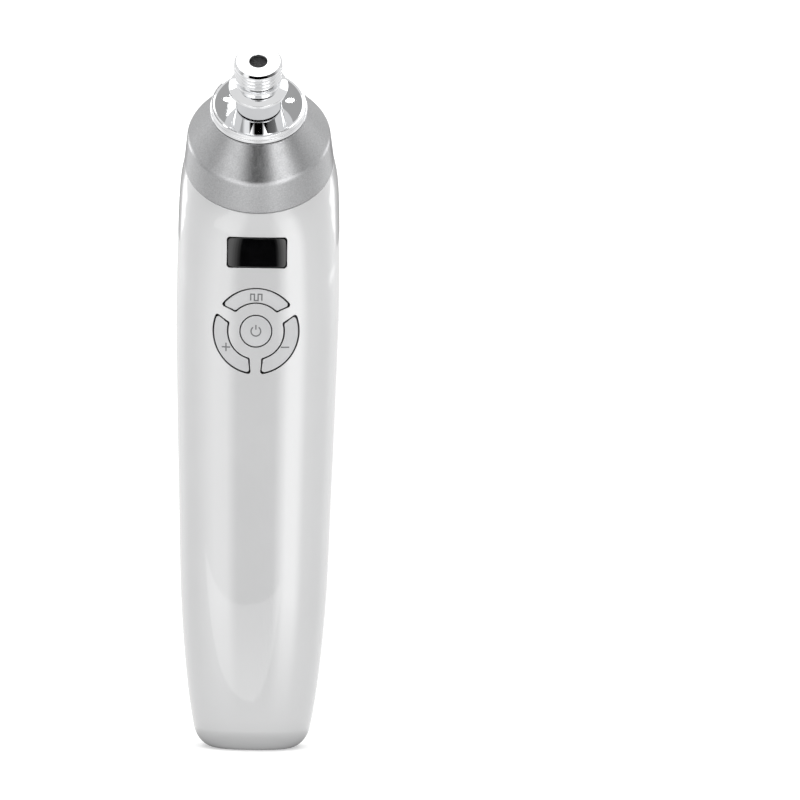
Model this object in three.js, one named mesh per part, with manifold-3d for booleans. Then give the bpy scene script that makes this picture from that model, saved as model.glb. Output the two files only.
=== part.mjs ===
// A hand-held blackhead vacuum extractor: a bent white two-part body, a satin silver head
// cover with a polished plate and a threaded suction nozzle, and the pump, battery, boards
// and switches inside. Millimetres, +Z up, +X to the right, the buttons face -Y.
import * as THREE from "three";
import { mergeVertices } from "three/addons/utils/BufferGeometryUtils.js";
import Module from "manifold-3d";

const wasm = await Module();
wasm.setup();

// ---------------------------------------------------------------- driving dimensions
const GAP = 0.3; // between neighbouring pieces
const WALL = 2.0; // shell wall
const FINE = { slices: 16, around: 32 }; // sections along the body, and points around each
const COARSE = { slices: 8, around: 20 }; // the same for its inside

// The body's side profile and width: front y, front z, back y, back z, half width.
// Sections run from one front point to its back point, level at the base and tilted at the head.
const STATIONS = [
  [-9.8, 0, 16.2, 0, 14.6],
  [-10.9, 14, 17.3, 14, 17.1],
  [-11.8, 38, 19.0, 38, 19.45],
  [-12.2, 68, 20.8, 68, 20.55],
  [-12.2, 96, 22.5, 98, 21.45],
  [-12.1, 116, 23.8, 122, 21.95],
  [-12.3, 130, 24.6, 143, 21.75],
  [-13.0, 138.5, 23.6, 158.5, 21.45],
  [-14.1, 142.4, 20.6, 165.8, 21.0],
  [-15.4, 145.8, 15.4, 171.6, 20.1],
];
const SQUARENESS = 2.3; // superellipse exponent of a mid-body section; the head end is round
const BASE_ROUND = 4.6; // rounding of the base edge, outwards
const BASE_RISE = 5.5; // and upwards
const SEAM = 0.39; // the shells part this far behind the widest line, of the half depth

const HEAD_TILT = THREE.MathUtils.degToRad(40); // nozzle axis, forwards of upright
const HEAD_Z = 158.7; // centre of the circle where the head cover meets the shells
const BORE_R = 2.4; // suction bore of the nozzle

const WINDOW = { z: 135.1, width: 16, height: 8.2, corner: 0.9 };
const RING_Z = 113.9; // centre of the power button and of the ring of keys around it
const POWER_R = 4.1;
const KEY = { inner: 7.75, outer: 11.35, spoke: 3.5, corner: 0.8 };
const KEY_MID_R = (KEY.inner + KEY.outer) / 2;
const KEY_PROUD = 0.2; // caps stand out of the shell by this much
const KEY_TRAVEL = 0.4;

const BOARD = { front: -1.6, thick: 1.6, bottom: 94, top: 143, halfWidth: 14.5 };
const BOARD_HOLES = [
  [-11.8, 97.5],
  [11.8, 97.5],
  [-11.8, 129.8],
  [11.8, 129.8],
];
const SCREW = { shank: 0.75, head: 1.6, headHeight: 1.2 };

const CELL = { r: 9.15, y: 3.6, bottom: 13.5, top: 78.5 };
const MOTOR = { x: 10, y: 7.6, centreY: 9.0, bottom: 84, top: 109 };
const CRANK = { throw: 0.8, pinR: 1.0, hubR: 4.0, shaftR: 1.0 };
const PUMP = { halfY: 7.4, bottom: 109.4, top: 123 };
const STROKE = CRANK.throw;
const INLET = { x: 14.4, y: 5.6 };
const OUTLET = { x: 14.4, y: 12.4 };
const BARB = { r: 1.6, bore: 0.8, top: 128.4 };
const SOCKET = { x: 4.5, y: 1.6, centreY: 2.6, depth: 7.2 };

// ---------------------------------------------------------------- materials
const paint = (color, roughness, metalness) =>
  new THREE.MeshStandardMaterial({ color, roughness, metalness });
const gloss = () => paint(0xeef0f1, 0.18, 0);
const capWhite = () => paint(0xe2e4e6, 0.38, 0);
const satinSilver = () => paint(0xb4b6b8, 0.38, 0.9);
const chrome = () => paint(0xe6e8ea, 0.06, 1);
const blackGlass = () => paint(0x0a0a0c, 0.05, 0);
const darkPlastic = () => paint(0x2a2c30, 0.55, 0);
const palePlastic = () => paint(0xcfd2d4, 0.5, 0);
const steel = () => paint(0x9a9ea3, 0.32, 1);
const rubber = () => paint(0x35363a, 0.8, 0);
const sponge = () => paint(0x1b1b1d, 0.95, 0);
const boardGreen = () => paint(0x14532d, 0.45, 0);
const silicone = () => paint(0xdfe3e2, 0.4, 0);
const cellWrap = () => paint(0x2f6fb5, 0.35, 0);
const brass = () => paint(0xb8964a, 0.35, 1);
const wire = (color) => paint(color, 0.5, 0);

// ---------------------------------------------------------------- solids and meshes
// A manifold solid of any closed three.js geometry.
function solid(geometry) {
  const bare = new THREE.BufferGeometry();
  bare.setAttribute("position", geometry.getAttribute("position"));
  bare.setIndex(geometry.index);
  const merged = mergeVertices(bare, 1e-4);
  return new wasm.Manifold(
    new wasm.Mesh({
      numProp: 3,
      vertProperties: new Float32Array(merged.getAttribute("position").array),
      triVerts: new Uint32Array(merged.index.array),
    }),
  );
}

function geometryOf(made) {
  const mesh = made.getMesh();
  const geometry = new THREE.BufferGeometry();
  geometry.setAttribute("position", new THREE.BufferAttribute(mesh.vertProperties, 3));
  geometry.setIndex(new THREE.BufferAttribute(mesh.triVerts, 1));
  return geometry;
}

function part(name, shape, material) {
  const geometry = shape.isBufferGeometry ? shape : geometryOf(shape);
  geometry.computeVertexNormals();
  const mesh = new THREE.Mesh(geometry, material);
  mesh.name = name;
  return mesh;
}

// A box between two corners.
function block(low, high) {
  const size = high.map((value, i) => value - low[i]);
  const centre = high.map((value, i) => (value + low[i]) / 2);
  return new THREE.BoxGeometry(...size).translate(...centre);
}

// Cylinders along each axis, from one end to the other.
function alongZ(r, x, y, bottom, top, sides = 20) {
  const geometry = new THREE.CylinderGeometry(r, r, top - bottom, sides).rotateX(Math.PI / 2);
  return geometry.translate(x, y, (bottom + top) / 2);
}

function alongY(r, x, z, front, back, sides = 20) {
  const geometry = new THREE.CylinderGeometry(r, r, back - front, sides);
  return geometry.translate(x, (front + back) / 2, z);
}

function alongX(r, y, z, left, right, sides = 20) {
  const geometry = new THREE.CylinderGeometry(r, r, right - left, sides).rotateZ(Math.PI / 2);
  return geometry.translate((left + right) / 2, y, z);
}

// A turned piece about +Z: [radius, height] points, closed by the axis or by themselves.
function turned(points, segments = 40) {
  const closed = points[0][0] > 0 ? [...points, points[0]] : points;
  const profile = closed.map(([r, z]) => new THREE.Vector2(r, z));
  return new THREE.LatheGeometry(profile, segments).rotateX(Math.PI / 2);
}

// A shape drawn in x and z, extruded from front to back along +Y.
function prismY(shape, front, back, curveSegments = 3) {
  const options = { depth: back - front, bevelEnabled: false, curveSegments };
  return new THREE.ExtrudeGeometry(shape, options).rotateX(Math.PI / 2).translate(0, back, 0);
}

// A shape drawn in x and y, extruded upwards.
function prismZ(shape, bottom, top, curveSegments = 3) {
  const options = { depth: top - bottom, bevelEnabled: false, curveSegments };
  return new THREE.ExtrudeGeometry(shape, options).translate(0, 0, bottom);
}

function roundedRectangle(halfX, halfY, r, centreX = 0, centreY = 0) {
  const [left, right] = [centreX - halfX, centreX + halfX];
  const [low, high] = [centreY - halfY, centreY + halfY];
  const shape = new THREE.Shape();
  shape.absarc(right - r, low + r, r, -Math.PI / 2, 0);
  shape.absarc(right - r, high - r, r, 0, Math.PI / 2);
  shape.absarc(left + r, high - r, r, Math.PI / 2, Math.PI);
  shape.absarc(left + r, low + r, r, Math.PI, Math.PI * 1.5);
  shape.closePath();
  return shape;
}

// A tube or a wire through hand-placed points.
function routed(points, outerR, innerR, steps) {
  const path = new THREE.CatmullRomCurve3(points.map((point) => new THREE.Vector3(...point)));
  const shape = new THREE.Shape().absarc(0, 0, outerR, 0, Math.PI * 2);
  if (innerR) shape.holes.push(new THREE.Path().absarc(0, 0, innerR, 0, Math.PI * 2, true));
  const options = { extrudePath: path, steps, curveSegments: 4, bevelEnabled: false };
  return new THREE.ExtrudeGeometry(shape, options);
}

// ---------------------------------------------------------------- the body's form
const curveOf = (pick) =>
  new THREE.CatmullRomCurve3(STATIONS.map((row) => new THREE.Vector3(...pick(row))), false, "centripetal");
const frontCurve = curveOf((row) => [0, row[0], row[1]]);
const backCurve = curveOf((row) => [0, row[2], row[3]]);
const widthCurve = curveOf((row) => [row[4], 0, (row[1] + row[3]) / 2]);

// One section of the body at t from 0, the base, to 1, the head circle.
function sectionAt(t, inset) {
  const front = frontCurve.getPoint(t);
  const back = backCurve.getPoint(t);
  const centre = front.clone().lerp(back, 0.5);
  const depthAxis = back.clone().sub(front).normalize();
  const under = Math.max(0, 1 - (centre.z - inset) / BASE_RISE);
  const round = BASE_ROUND * (1 - Math.sqrt(Math.max(0, 1 - under * under)));
  return {
    centre,
    depthAxis,
    halfDepth: front.distanceTo(back) / 2 - inset - round,
    halfWidth: widthCurve.getPoint(t).x - inset - round,
    exponent: THREE.MathUtils.lerp(SQUARENESS, 2, THREE.MathUtils.smoothstep(t, 0.72, 1)),
  };
}

// A closed skin over rings of points, with flat ends.
function loft(rings) {
  const count = rings[0].length;
  const points = rings.flat();
  const faces = [];
  for (let ring = 0; ring + 1 < rings.length; ring += 1) {
    for (let i = 0; i < count; i += 1) {
      const a = ring * count + i;
      const b = ring * count + ((i + 1) % count);
      faces.push(a, b, b + count, a, b + count, a + count);
    }
  }
  const ends = [rings[0], rings.at(-1)];
  const hubs = ends.map((ring) => {
    const middle = ring.reduce((sum, point) => sum.add(point), new THREE.Vector3());
    points.push(middle.divideScalar(count));
    return points.length - 1;
  });
  const lastStart = (rings.length - 1) * count;
  for (let i = 0; i < count; i += 1) {
    const next = (i + 1) % count;
    faces.push(hubs[0], next, i);
    faces.push(hubs[1], lastStart + i, lastStart + next);
  }
  const geometry = new THREE.BufferGeometry().setFromPoints(points);
  geometry.setIndex(faces);
  return geometry;
}

const signedPower = (value, power) => Math.sign(value) * Math.abs(value) ** power;

function ringOf(section, around) {
  const { centre, depthAxis, halfDepth, halfWidth, exponent } = section;
  return Array.from({ length: around }, (_, i) => {
    const angle = (i / around) * Math.PI * 2;
    const across = halfWidth * signedPower(Math.cos(angle), 2 / exponent);
    const deep = halfDepth * signedPower(Math.sin(angle), 2 / exponent);
    return centre.clone().addScaledVector(depthAxis, deep).add(new THREE.Vector3(across, 0, 0));
  });
}

// Section places from 0 to 1, closer together over the rounded base.
function placesFrom(start, slices) {
  const baseEnd = 0.1;
  const base = [0, 0.02, 0.07, 0.16, 0.3, 0.5, 0.75].map((f) => start + f * (baseEnd - start));
  const rest = Array.from({ length: slices }, (_, i) => baseEnd + ((1 - baseEnd) * (i + 1)) / slices);
  return [...base, baseEnd, ...rest];
}

// The body offset inwards by inset; lengthened past the head circle when a cutter needs it.
function bodyForm(inset, floor, overrun, { slices, around }) {
  const start = floor / STATIONS[1][1] / (STATIONS.length - 1);
  const rings = placesFrom(start, slices).map((t) => ringOf(sectionAt(t, inset), around));
  if (overrun) {
    const axis = new THREE.Vector3(0, -Math.sin(HEAD_TILT), Math.cos(HEAD_TILT));
    rings.push(rings.at(-1).map((point) => point.clone().addScaledVector(axis, overrun)));
  }
  return solid(loft(rings));
}

// Everything behind the shells' parting surface, less or more by offset.
function behindSeam(offset) {
  const reach = 60;
  const rings = [-0.04, ...placesFrom(0, FINE.slices).slice(1), 1.05].map((t) => {
    const section = sectionAt(THREE.MathUtils.clamp(t, 0, 1), 0);
    const { centre, depthAxis, halfDepth } = section;
    const past = t < 0 ? -5 : t > 1 ? 5 : 0;
    const up = new THREE.Vector3(0, -depthAxis.z, depthAxis.y).multiplyScalar(past);
    const near = centre.clone().addScaledVector(depthAxis, SEAM * halfDepth + offset).add(up);
    const far = near.clone().addScaledVector(depthAxis, reach);
    const side = new THREE.Vector3(reach, 0, 0);
    return [near.clone().add(side), far.clone().add(side), far.clone().sub(side), near.clone().sub(side)];
  });
  return solid(loft(rings));
}

const outerForm = bodyForm(0, 0, 0, FINE);
const proudForm = bodyForm(-KEY_PROUD, 0, 0, FINE);
const innerForm = bodyForm(WALL, WALL, 4, COARSE);
const hollowBody = outerForm.subtract(innerForm);

// ---------------------------------------------------------------- keys, window and display
// One of the three curved keys around the power button, centred on an angle.
function keyShape(turn, grow) {
  const outer = KEY.outer + grow;
  const inner = KEY.inner - grow;
  const halfSpoke = KEY.spoke / 2 - grow;
  const end = Math.PI / 3;
  const outerEnd = end - Math.asin(halfSpoke / outer);
  const innerEnd = end - Math.asin(halfSpoke / inner);
  const cut = KEY.corner;
  const at = (r, angle) => [r * Math.cos(turn + angle), RING_Z + r * Math.sin(turn + angle)];
  const shape = new THREE.Shape();
  shape.absarc(0, RING_Z, outer, turn - outerEnd + cut / outer, turn + outerEnd - cut / outer);
  shape.quadraticCurveTo(...at(outer, outerEnd), ...at(outer - cut, outerEnd));
  shape.lineTo(...at(inner + cut, innerEnd));
  shape.quadraticCurveTo(...at(inner, innerEnd), ...at(inner, innerEnd - cut / inner));
  shape.absarc(0, RING_Z, inner, turn + innerEnd - cut / inner, turn - innerEnd + cut / inner, true);
  shape.quadraticCurveTo(...at(inner, -innerEnd), ...at(inner + cut, -innerEnd));
  shape.lineTo(...at(outer - cut, -outerEnd));
  shape.quadraticCurveTo(...at(outer, -outerEnd), ...at(outer, -outerEnd + cut / outer));
  shape.closePath();
  return shape;
}

const discShape = (r) => new THREE.Shape().absarc(0, RING_Z, r, 0, Math.PI * 2);

const KEYS = [
  { name: "power", shape: (grow) => discShape(POWER_R + grow), x: 0, z: RING_Z, smooth: 14 },
  ...["mode", "plus", "minus"].map((name, i) => {
    const turn = Math.PI / 2 + (i * Math.PI * 2) / 3;
    const x = KEY_MID_R * Math.cos(turn);
    const z = RING_Z + KEY_MID_R * Math.sin(turn);
    return { name, shape: (grow) => keyShape(turn, grow), x, z, smooth: 5 };
  }),
];

const FLANGE = { front: -7.2, back: -6.4, grow: 0.6 };
const STEM_END = -5.9;
const PLUNGER = { r: 1.45, front: -5.6, back: -3.9 };
const SWITCH = { half: 3, front: -4.9, back: BOARD.front - GAP, boreR: 1.75 };
SWITCH.boreEnd = PLUNGER.back + KEY_TRAVEL + 0.2;
const SEE_THROUGH = -30; // where front cutters start, well ahead of the body

function keyCap(key) {
  const column = solid(prismY(key.shape(0), SEE_THROUGH, FLANGE.back, key.smooth)).intersect(proudForm);
  const flange = solid(prismY(key.shape(FLANGE.grow), FLANGE.front, FLANGE.back, key.smooth));
  const stem = solid(alongY(1.2, key.x, key.z, FLANGE.back - 0.1, STEM_END, 12));
  return column.add(flange).add(stem);
}

function keySwitch(key) {
  const low = [key.x - SWITCH.half, SWITCH.front, key.z - SWITCH.half];
  const high = [key.x + SWITCH.half, SWITCH.back, key.z + SWITCH.half];
  const bore = alongY(SWITCH.boreR, key.x, key.z, SWITCH.front - 1, SWITCH.boreEnd, 12);
  return solid(block(low, high)).subtract(solid(bore));
}

const windowShape = (grow) =>
  roundedRectangle(WINDOW.width / 2 + grow, WINDOW.height / 2 + grow, WINDOW.corner, 0, WINDOW.z);
const windowPane = solid(prismY(windowShape(-0.15), SEE_THROUGH, -10.4)).intersect(outerForm);

function gasketRing() {
  const shape = windowShape(-0.4);
  shape.holes.push(roundedRectangle(6.4, 2.8, 0.5, 0, WINDOW.z));
  return prismY(shape, -10.1, -8.0);
}

function displayModule() {
  const [halfX, halfZ] = [7.4, 4];
  return block([-halfX, -7.7, WINDOW.z - halfZ], [halfX, BOARD.front - GAP, WINDOW.z + halfZ]);
}

// ---------------------------------------------------------------- shells
const socketShape = (grow) =>
  roundedRectangle(SOCKET.x + grow, SOCKET.y + grow, 1.0, 0, SOCKET.centreY);

function frontShell() {
  let shell = hollowBody.subtract(behindSeam(-0.1));
  for (const [x, z] of BOARD_HOLES) {
    const post = solid(alongY(2.3, x, z, -10.6, BOARD.front - GAP)).intersect(outerForm);
    shell = shell.add(post);
    shell = shell.subtract(solid(alongY(SCREW.shank + GAP, x, z, -6.4, 0)));
  }
  for (const key of KEYS) {
    shell = shell.subtract(solid(prismY(key.shape(GAP), SEE_THROUGH, FLANGE.front + 0.1, key.smooth)));
  }
  shell = shell.subtract(solid(prismY(windowShape(0.15), SEE_THROUGH, -8)));
  return shell.subtract(solid(prismZ(socketShape(GAP), -1, WALL + 2)));
}

const CLAMP_SCREWS = [-13.8, 13.8].map((x) => ({ x, z: 89.8 }));
const CLAMP = { bottom: 86, top: 93.6, ear: 10.6, earBack: 12.6 };

function backShell() {
  let shell = hollowBody.intersect(behindSeam(0.1));
  for (const { x, z } of CLAMP_SCREWS) {
    const post = solid(alongY(2.2, x, z, CLAMP.earBack + GAP, 22)).intersect(outerForm);
    shell = shell.add(post);
    shell = shell.subtract(solid(alongY(SCREW.shank + GAP, x, z, 10, 16.4)));
  }
  return shell;
}

// ---------------------------------------------------------------- head, about its own axis
const COVER = { bottom: 0.3, creaseR: 19.25, creaseZ: 9.7, topR: 13.1, top: 19.3, thick: 1.6 };
const PLATE = { r: 13.05, faceR: 12.45, bottom: 19.6, top: 21.85, holeR: 5.3 };
const NOZZLE = { tip: 37.9, r: 6.45, stemR: 5.0, stemEnd: 13.6 };
const THREAD = { turns: 3, pitch: 1.25, depth: 0.5, first: 36.6 };

function headCover() {
  const round = 2.2; // softness of the shoulder
  const outside = [
    [20.1, COVER.bottom],
    [COVER.creaseR + 0.2, COVER.creaseZ - round],
    [COVER.creaseR + 0.02, COVER.creaseZ - round / 3],
    [COVER.creaseR - 0.35, COVER.creaseZ + round / 3],
    [COVER.creaseR - 1.2, COVER.creaseZ + round],
    [COVER.topR + 0.35, COVER.top - 0.55],
    [COVER.topR, COVER.top - 0.15],
    [COVER.topR - 0.4, COVER.top],
  ];
  const inside = [
    [9.0, COVER.top],
    [9.0, COVER.top - COVER.thick],
    [COVER.topR - 1.1, COVER.top - COVER.thick],
    [COVER.creaseR - 2.3, COVER.creaseZ + round / 3],
    [COVER.creaseR - 1.7, COVER.creaseZ - round],
    [20.1 - COVER.thick, COVER.bottom],
  ];
  return turned([...outside, ...inside], 44);
}

function chromePlate() {
  return turned([
    [PLATE.holeR, PLATE.bottom],
    [PLATE.r, PLATE.bottom],
    [PLATE.r, PLATE.bottom + 0.85],
    [PLATE.r - 0.2, PLATE.bottom + 1.0],
    [PLATE.r - 0.3, PLATE.top - 0.25],
    [PLATE.faceR, PLATE.top],
    [PLATE.faceR - 0.55, PLATE.top - 0.25],
    [6.8, PLATE.top - 0.7],
    [PLATE.holeR, PLATE.top - 0.7],
  ], 40);
}

function nozzle() {
  const ridges = Array.from({ length: THREAD.turns }, (_, i) => {
    const top = THREAD.first - i * THREAD.pitch;
    const root = NOZZLE.r - THREAD.depth;
    return [
      [NOZZLE.r, top],
      [root, top - 0.4],
      [root, top - 0.65],
      [NOZZLE.r, top - 1.0],
    ];
  }).flat();
  return turned([
    [BORE_R, NOZZLE.tip],
    [BORE_R, NOZZLE.stemEnd],
    [NOZZLE.stemR, NOZZLE.stemEnd],
    [NOZZLE.stemR, 21.5],
    [6.2, 21.5],
    [6.35, 26.9],
    [7.0, 27.3],
    [8.0, 27.7],
    [8.0, 28.6],
    [5.8, 29.4],
    [5.8, 30.8],
    [6.3, 30.9],
    [6.3, 31.6],
    [5.7, 31.7],
    [5.7, 32.8],
    ...ridges.reverse(),
    [NOZZLE.r, NOZZLE.tip - 0.5],
    [5.9, NOZZLE.tip],
  ], 28);
}

function nozzleNut() {
  const flats = new THREE.CylinderGeometry(8.3, 8.3, 2.8, 6).rotateX(Math.PI / 2).translate(0, 0, 16.0);
  return solid(flats).subtract(solid(alongZ(NOZZLE.stemR + GAP, 0, 0, 14, 18)));
}

function suctionChamber() {
  return turned([
    [NOZZLE.stemR + 0.5, 14.1],
    [NOZZLE.stemR + 0.5, 5.4],
    [0.9, 2.6],
    [0.9, -8],
    [1.4, -8],
    [1.75, -7.2],
    [1.5, -5.6],
    [1.5, -1.2],
    [6.4, 1.8],
    [8.2, 2.4],
    [8.2, 4.5],
    [9.6, 4.5],
    [9.6, 6.0],
    [7.2, 6.2],
    [7.2, 14.1],
  ], 24);
}

function headCollar() {
  return turned([
    [15.4, -5],
    [17.2, -5],
    [17.2, 8.5],
    [15.4, 8.5],
    [15.4, 4.2],
    [8.5, 4.2],
    [8.5, 2.4],
    [15.4, 2.4],
  ], 32);
}

function headGroup() {
  const group = new THREE.Group();
  group.position.set(0, 0, HEAD_Z);
  group.rotation.x = HEAD_TILT;
  group.add(
    part("head_cover", headCover(), satinSilver()),
    part("chrome_plate", chromePlate(), chrome()),
    part("nozzle", nozzle(), chrome()),
    part("nozzle_seal", turned([[5.4, 17.8], [8.6, 17.8], [8.6, 19.3], [5.4, 19.3]], 28), rubber()),
    part("nozzle_nut", nozzleNut(), steel()),
    part("filter_screen", alongZ(BORE_R - GAP, 0, 0, 34.2, 34.8), sponge()),
    part("suction_chamber", suctionChamber(), palePlastic()),
    part("filter_sponge", alongZ(5.1, 0, 0, 7.0, 13.2, 24), sponge()),
    part("head_collar", headCollar(), darkPlastic()),
  );
  return group;
}

// ---------------------------------------------------------------- boards
function mainBoard() {
  const { front, thick, bottom, top, halfWidth } = BOARD;
  let board = solid(block([-halfWidth, front, bottom], [halfWidth, front + thick, top]));
  for (const [x, z] of BOARD_HOLES) {
    board = board.subtract(solid(alongY(SCREW.shank + GAP, x, z, front - 1, front + thick + 1, 16)));
  }
  return board;
}

// A screw along Y whose head lies on the side that the turn points at.
function screwAlongY(x, z, headFace, tip) {
  const side = Math.sign(headFace - tip);
  const far = headFace + side * SCREW.headHeight;
  const head = alongY(SCREW.head, x, z, Math.min(headFace, far), Math.max(headFace, far), 16);
  const ends = [tip, headFace + side * 0.2].sort((a, b) => a - b);
  const recess = block([x - 0.8, Math.min(far, far - side * 0.6) - 0.01, z - 0.2],
    [x + 0.8, Math.max(far, far - side * 0.6) + 0.01, z + 0.2]);
  return solid(head).add(solid(alongY(SCREW.shank, x, z, ...ends, 12))).subtract(solid(recess));
}

// A chip or connector on the front of the main board.
function onBoard(x, z, halfX, halfZ, height) {
  const foot = BOARD.front - GAP;
  return block([x - halfX, foot - height, z - halfZ], [x + halfX, foot, z + halfZ]);
}

// ---------------------------------------------------------------- pump and motor
const motorShape = (grow) => roundedRectangle(MOTOR.x + grow, MOTOR.y + grow, 6.2 + grow, 0, MOTOR.centreY);

function motorCan() {
  const can = solid(prismZ(motorShape(0), MOTOR.bottom + 3.2, MOTOR.top));
  return can.subtract(solid(alongZ(CRANK.shaftR + GAP, 0, MOTOR.centreY, 98, MOTOR.top + 1)));
}

function motorEndCap() {
  const cap = solid(prismZ(motorShape(-0.4), MOTOR.bottom + 0.9, MOTOR.bottom + 2.9));
  const bearing = solid(alongZ(2.6, 0, MOTOR.centreY, MOTOR.bottom, MOTOR.bottom + 1.2));
  return cap.add(bearing);
}

function crank() {
  const hub = solid(alongZ(CRANK.hubR, 0, MOTOR.centreY, 112, 115.6));
  const bore = solid(alongZ(CRANK.shaftR + GAP, 0, MOTOR.centreY, 111, 114.8));
  const pin = solid(alongZ(CRANK.pinR, CRANK.throw, MOTOR.centreY, 115.4, 119.8, 16));
  return hub.subtract(bore).add(pin);
}

function pumpHousing() {
  const y = MOTOR.centreY;
  const outside = block([-8.2, y - PUMP.halfY, PUMP.bottom], [9, y + PUMP.halfY, PUMP.top]);
  const chamber = block([-6.6, y - 5.8, PUMP.bottom + 1.6], [10, y + 5.8, PUMP.top - 1.4]);
  const shaftHole = alongZ(2.2, 0, y, PUMP.bottom - 1, PUMP.bottom + 2);
  return solid(outside).subtract(solid(chamber)).subtract(solid(shaftHole));
}

const ROD_Z = 117.6;

// The yoke's window leaves the crank pin free at every stroke.
function pistonRod() {
  const y = MOTOR.centreY;
  const windowX = CRANK.throw + CRANK.pinR + STROKE + GAP;
  const windowY = CRANK.throw + CRANK.pinR + GAP;
  const frame = 1.4;
  const yoke = block([-windowX - frame, y - windowY - frame, ROD_Z - 1.2],
    [windowX + frame, y + windowY + frame, ROD_Z + 1.2]);
  const slot = block([-windowX, y - windowY, ROD_Z - 3], [windowX, y + windowY, ROD_Z + 3]);
  const rod = alongX(1.1, y, ROD_Z, windowX + frame - 0.2, 9.4, 12);
  const disc = alongX(3.3, y, ROD_Z, 9.2, 10.0);
  return solid(yoke).subtract(solid(slot)).add(solid(rod)).add(solid(disc));
}

function discAlongX(outerR, innerR, left, right) {
  const ring = turned([[innerR, 0], [outerR, 0], [outerR, right - left], [innerR, right - left]], 24);
  return ring.rotateY(Math.PI / 2).translate(left, MOTOR.centreY, ROD_Z);
}

function valvePlate() {
  const y = MOTOR.centreY;
  const plate = block([10.8, y - 6.2, ROD_Z - 5.6], [12.8, y + 6.2, ROD_Z + 5.2]);
  const recess = alongX(4.2, y, ROD_Z, 10, 11.8);
  const ports = [INLET, OUTLET].map((port) => solid(alongX(BARB.bore, port.y, ROD_Z, 10, 14, 12)));
  return ports.reduce((made, port) => made.subtract(port), solid(plate).subtract(solid(recess)));
}

function pumpHead() {
  const y = MOTOR.centreY;
  let head = solid(block([13.1, y - 6.2, ROD_Z - 5.6], [16.0, y + 6.2, ROD_Z + 5.2]));
  for (const port of [INLET, OUTLET]) {
    head = head.add(solid(alongZ(BARB.r, port.x, port.y, ROD_Z + 5, BARB.top, 16)));
  }
  for (const port of [INLET, OUTLET]) {
    head = head.subtract(solid(alongZ(BARB.bore, port.x, port.y, ROD_Z - 0.4, BARB.top + 1, 12)));
    head = head.subtract(solid(alongX(BARB.bore * 0.9, port.y, ROD_Z, 12, port.x, 12)));
  }
  return head;
}

function motorClamp() {
  const band = roundedRectangle(MOTOR.x + 1.9, MOTOR.y + 1.9, 7.6, 0, MOTOR.centreY);
  band.holes.push(motorShape(GAP));
  let clamp = solid(prismZ(band, CLAMP.bottom, CLAMP.top));
  for (const { x, z } of CLAMP_SCREWS) {
    const inward = x - Math.sign(x) * 2.6;
    const outward = x + Math.sign(x) * 2.4;
    const low = [Math.min(inward, outward), CLAMP.ear, CLAMP.bottom];
    const high = [Math.max(inward, outward), CLAMP.earBack, CLAMP.top];
    clamp = clamp.add(solid(block(low, high)));
    clamp = clamp.subtract(solid(alongY(SCREW.shank + GAP, x, z, 9, 14, 16)));
  }
  return clamp;
}

// ---------------------------------------------------------------- battery and charging
function batteryCell() {
  const { r, bottom, top } = CELL;
  const can = [[0, bottom], [r, bottom], [r, top - 1.2], [r - 0.8, top - 0.6]];
  const button = [[3, top - 0.6], [3, top], [0, top]];
  return turned([...can, ...button], 32).translate(0, CELL.y, 0);
}

// An open trough behind the cell.
function batteryCradle() {
  const [inner, outer] = [CELL.r + GAP, CELL.r + 1.5];
  const shape = new THREE.Shape();
  shape.absarc(0, CELL.y, outer, -0.2, Math.PI + 0.2);
  shape.absarc(0, CELL.y, inner, Math.PI + 0.2, -0.2, true);
  shape.closePath();
  return prismZ(shape, 22, 70, 20);
}

function chargingSocket() {
  const outside = solid(prismZ(socketShape(0), 0.3, SOCKET.depth));
  const mouth = solid(prismZ(socketShape(-0.45), -1, SOCKET.depth - 1));
  const { centreY, depth } = SOCKET;
  const tongue = solid(block([-3.2, centreY - 0.35, 1.2], [3.2, centreY + 0.35, depth - 0.5]));
  return outside.subtract(mouth).add(tongue);
}

// ---------------------------------------------------------------- hose and leads
function suctionHose() {
  const onAxis = (h) => [0, -h * Math.sin(HEAD_TILT), HEAD_Z + h * Math.cos(HEAD_TILT)];
  const points = [
    onAxis(-3.4),
    onAxis(-6.2),
    onAxis(-9.4),
    [2.0, 9.6, 146.6],
    [7.0, 10.6, 141.4],
    [12.0, 8.2, 136.6],
    [INLET.x, INLET.y, 131.6],
    [INLET.x, INLET.y, 127.4],
    [INLET.x, INLET.y, 123.4],
  ];
  return routed(points, 2.9, 2.1, 18);
}

const RED = 0xb02020;
const BLACK = 0x1c1c1e;
const BLUE = 0x2c4f9e;
const LEADS = [
  { name: "battery_lead_red", color: RED,
    points: [[3.4, 4.4, 79.4], [7, 2.6, 83], [9.4, -4.6, 88], [7.0, -5.4, 94]] },
  { name: "battery_lead_black", color: BLACK,
    points: [[-3.4, 0, 79.1], [-0.8, -4.6, 83], [3.0, -6.2, 88.4], [4.6, -5.4, 94]] },
  { name: "motor_lead_red", color: RED,
    points: [[-6, 8, 84.4], [-9, 3.6, 81.4], [-10.4, -4.4, 87], [-7.0, -5.4, 94]] },
  { name: "motor_lead_black", color: BLACK,
    points: [[-3.6, 5.4, 84.2], [-5.4, 1.6, 81.4], [-5.8, -4.0, 86], [-4.6, -5.4, 94]] },
  { name: "charging_lead", color: BLUE,
    points: [[0, -5.4, 9.8], [0, -7.6, 16], [0, -8.6, 44], [0, -8.4, 74], [0, -7.6, 86], [0, -5.6, 93],
      [0, -2.7, 96.4]] },
];

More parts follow.
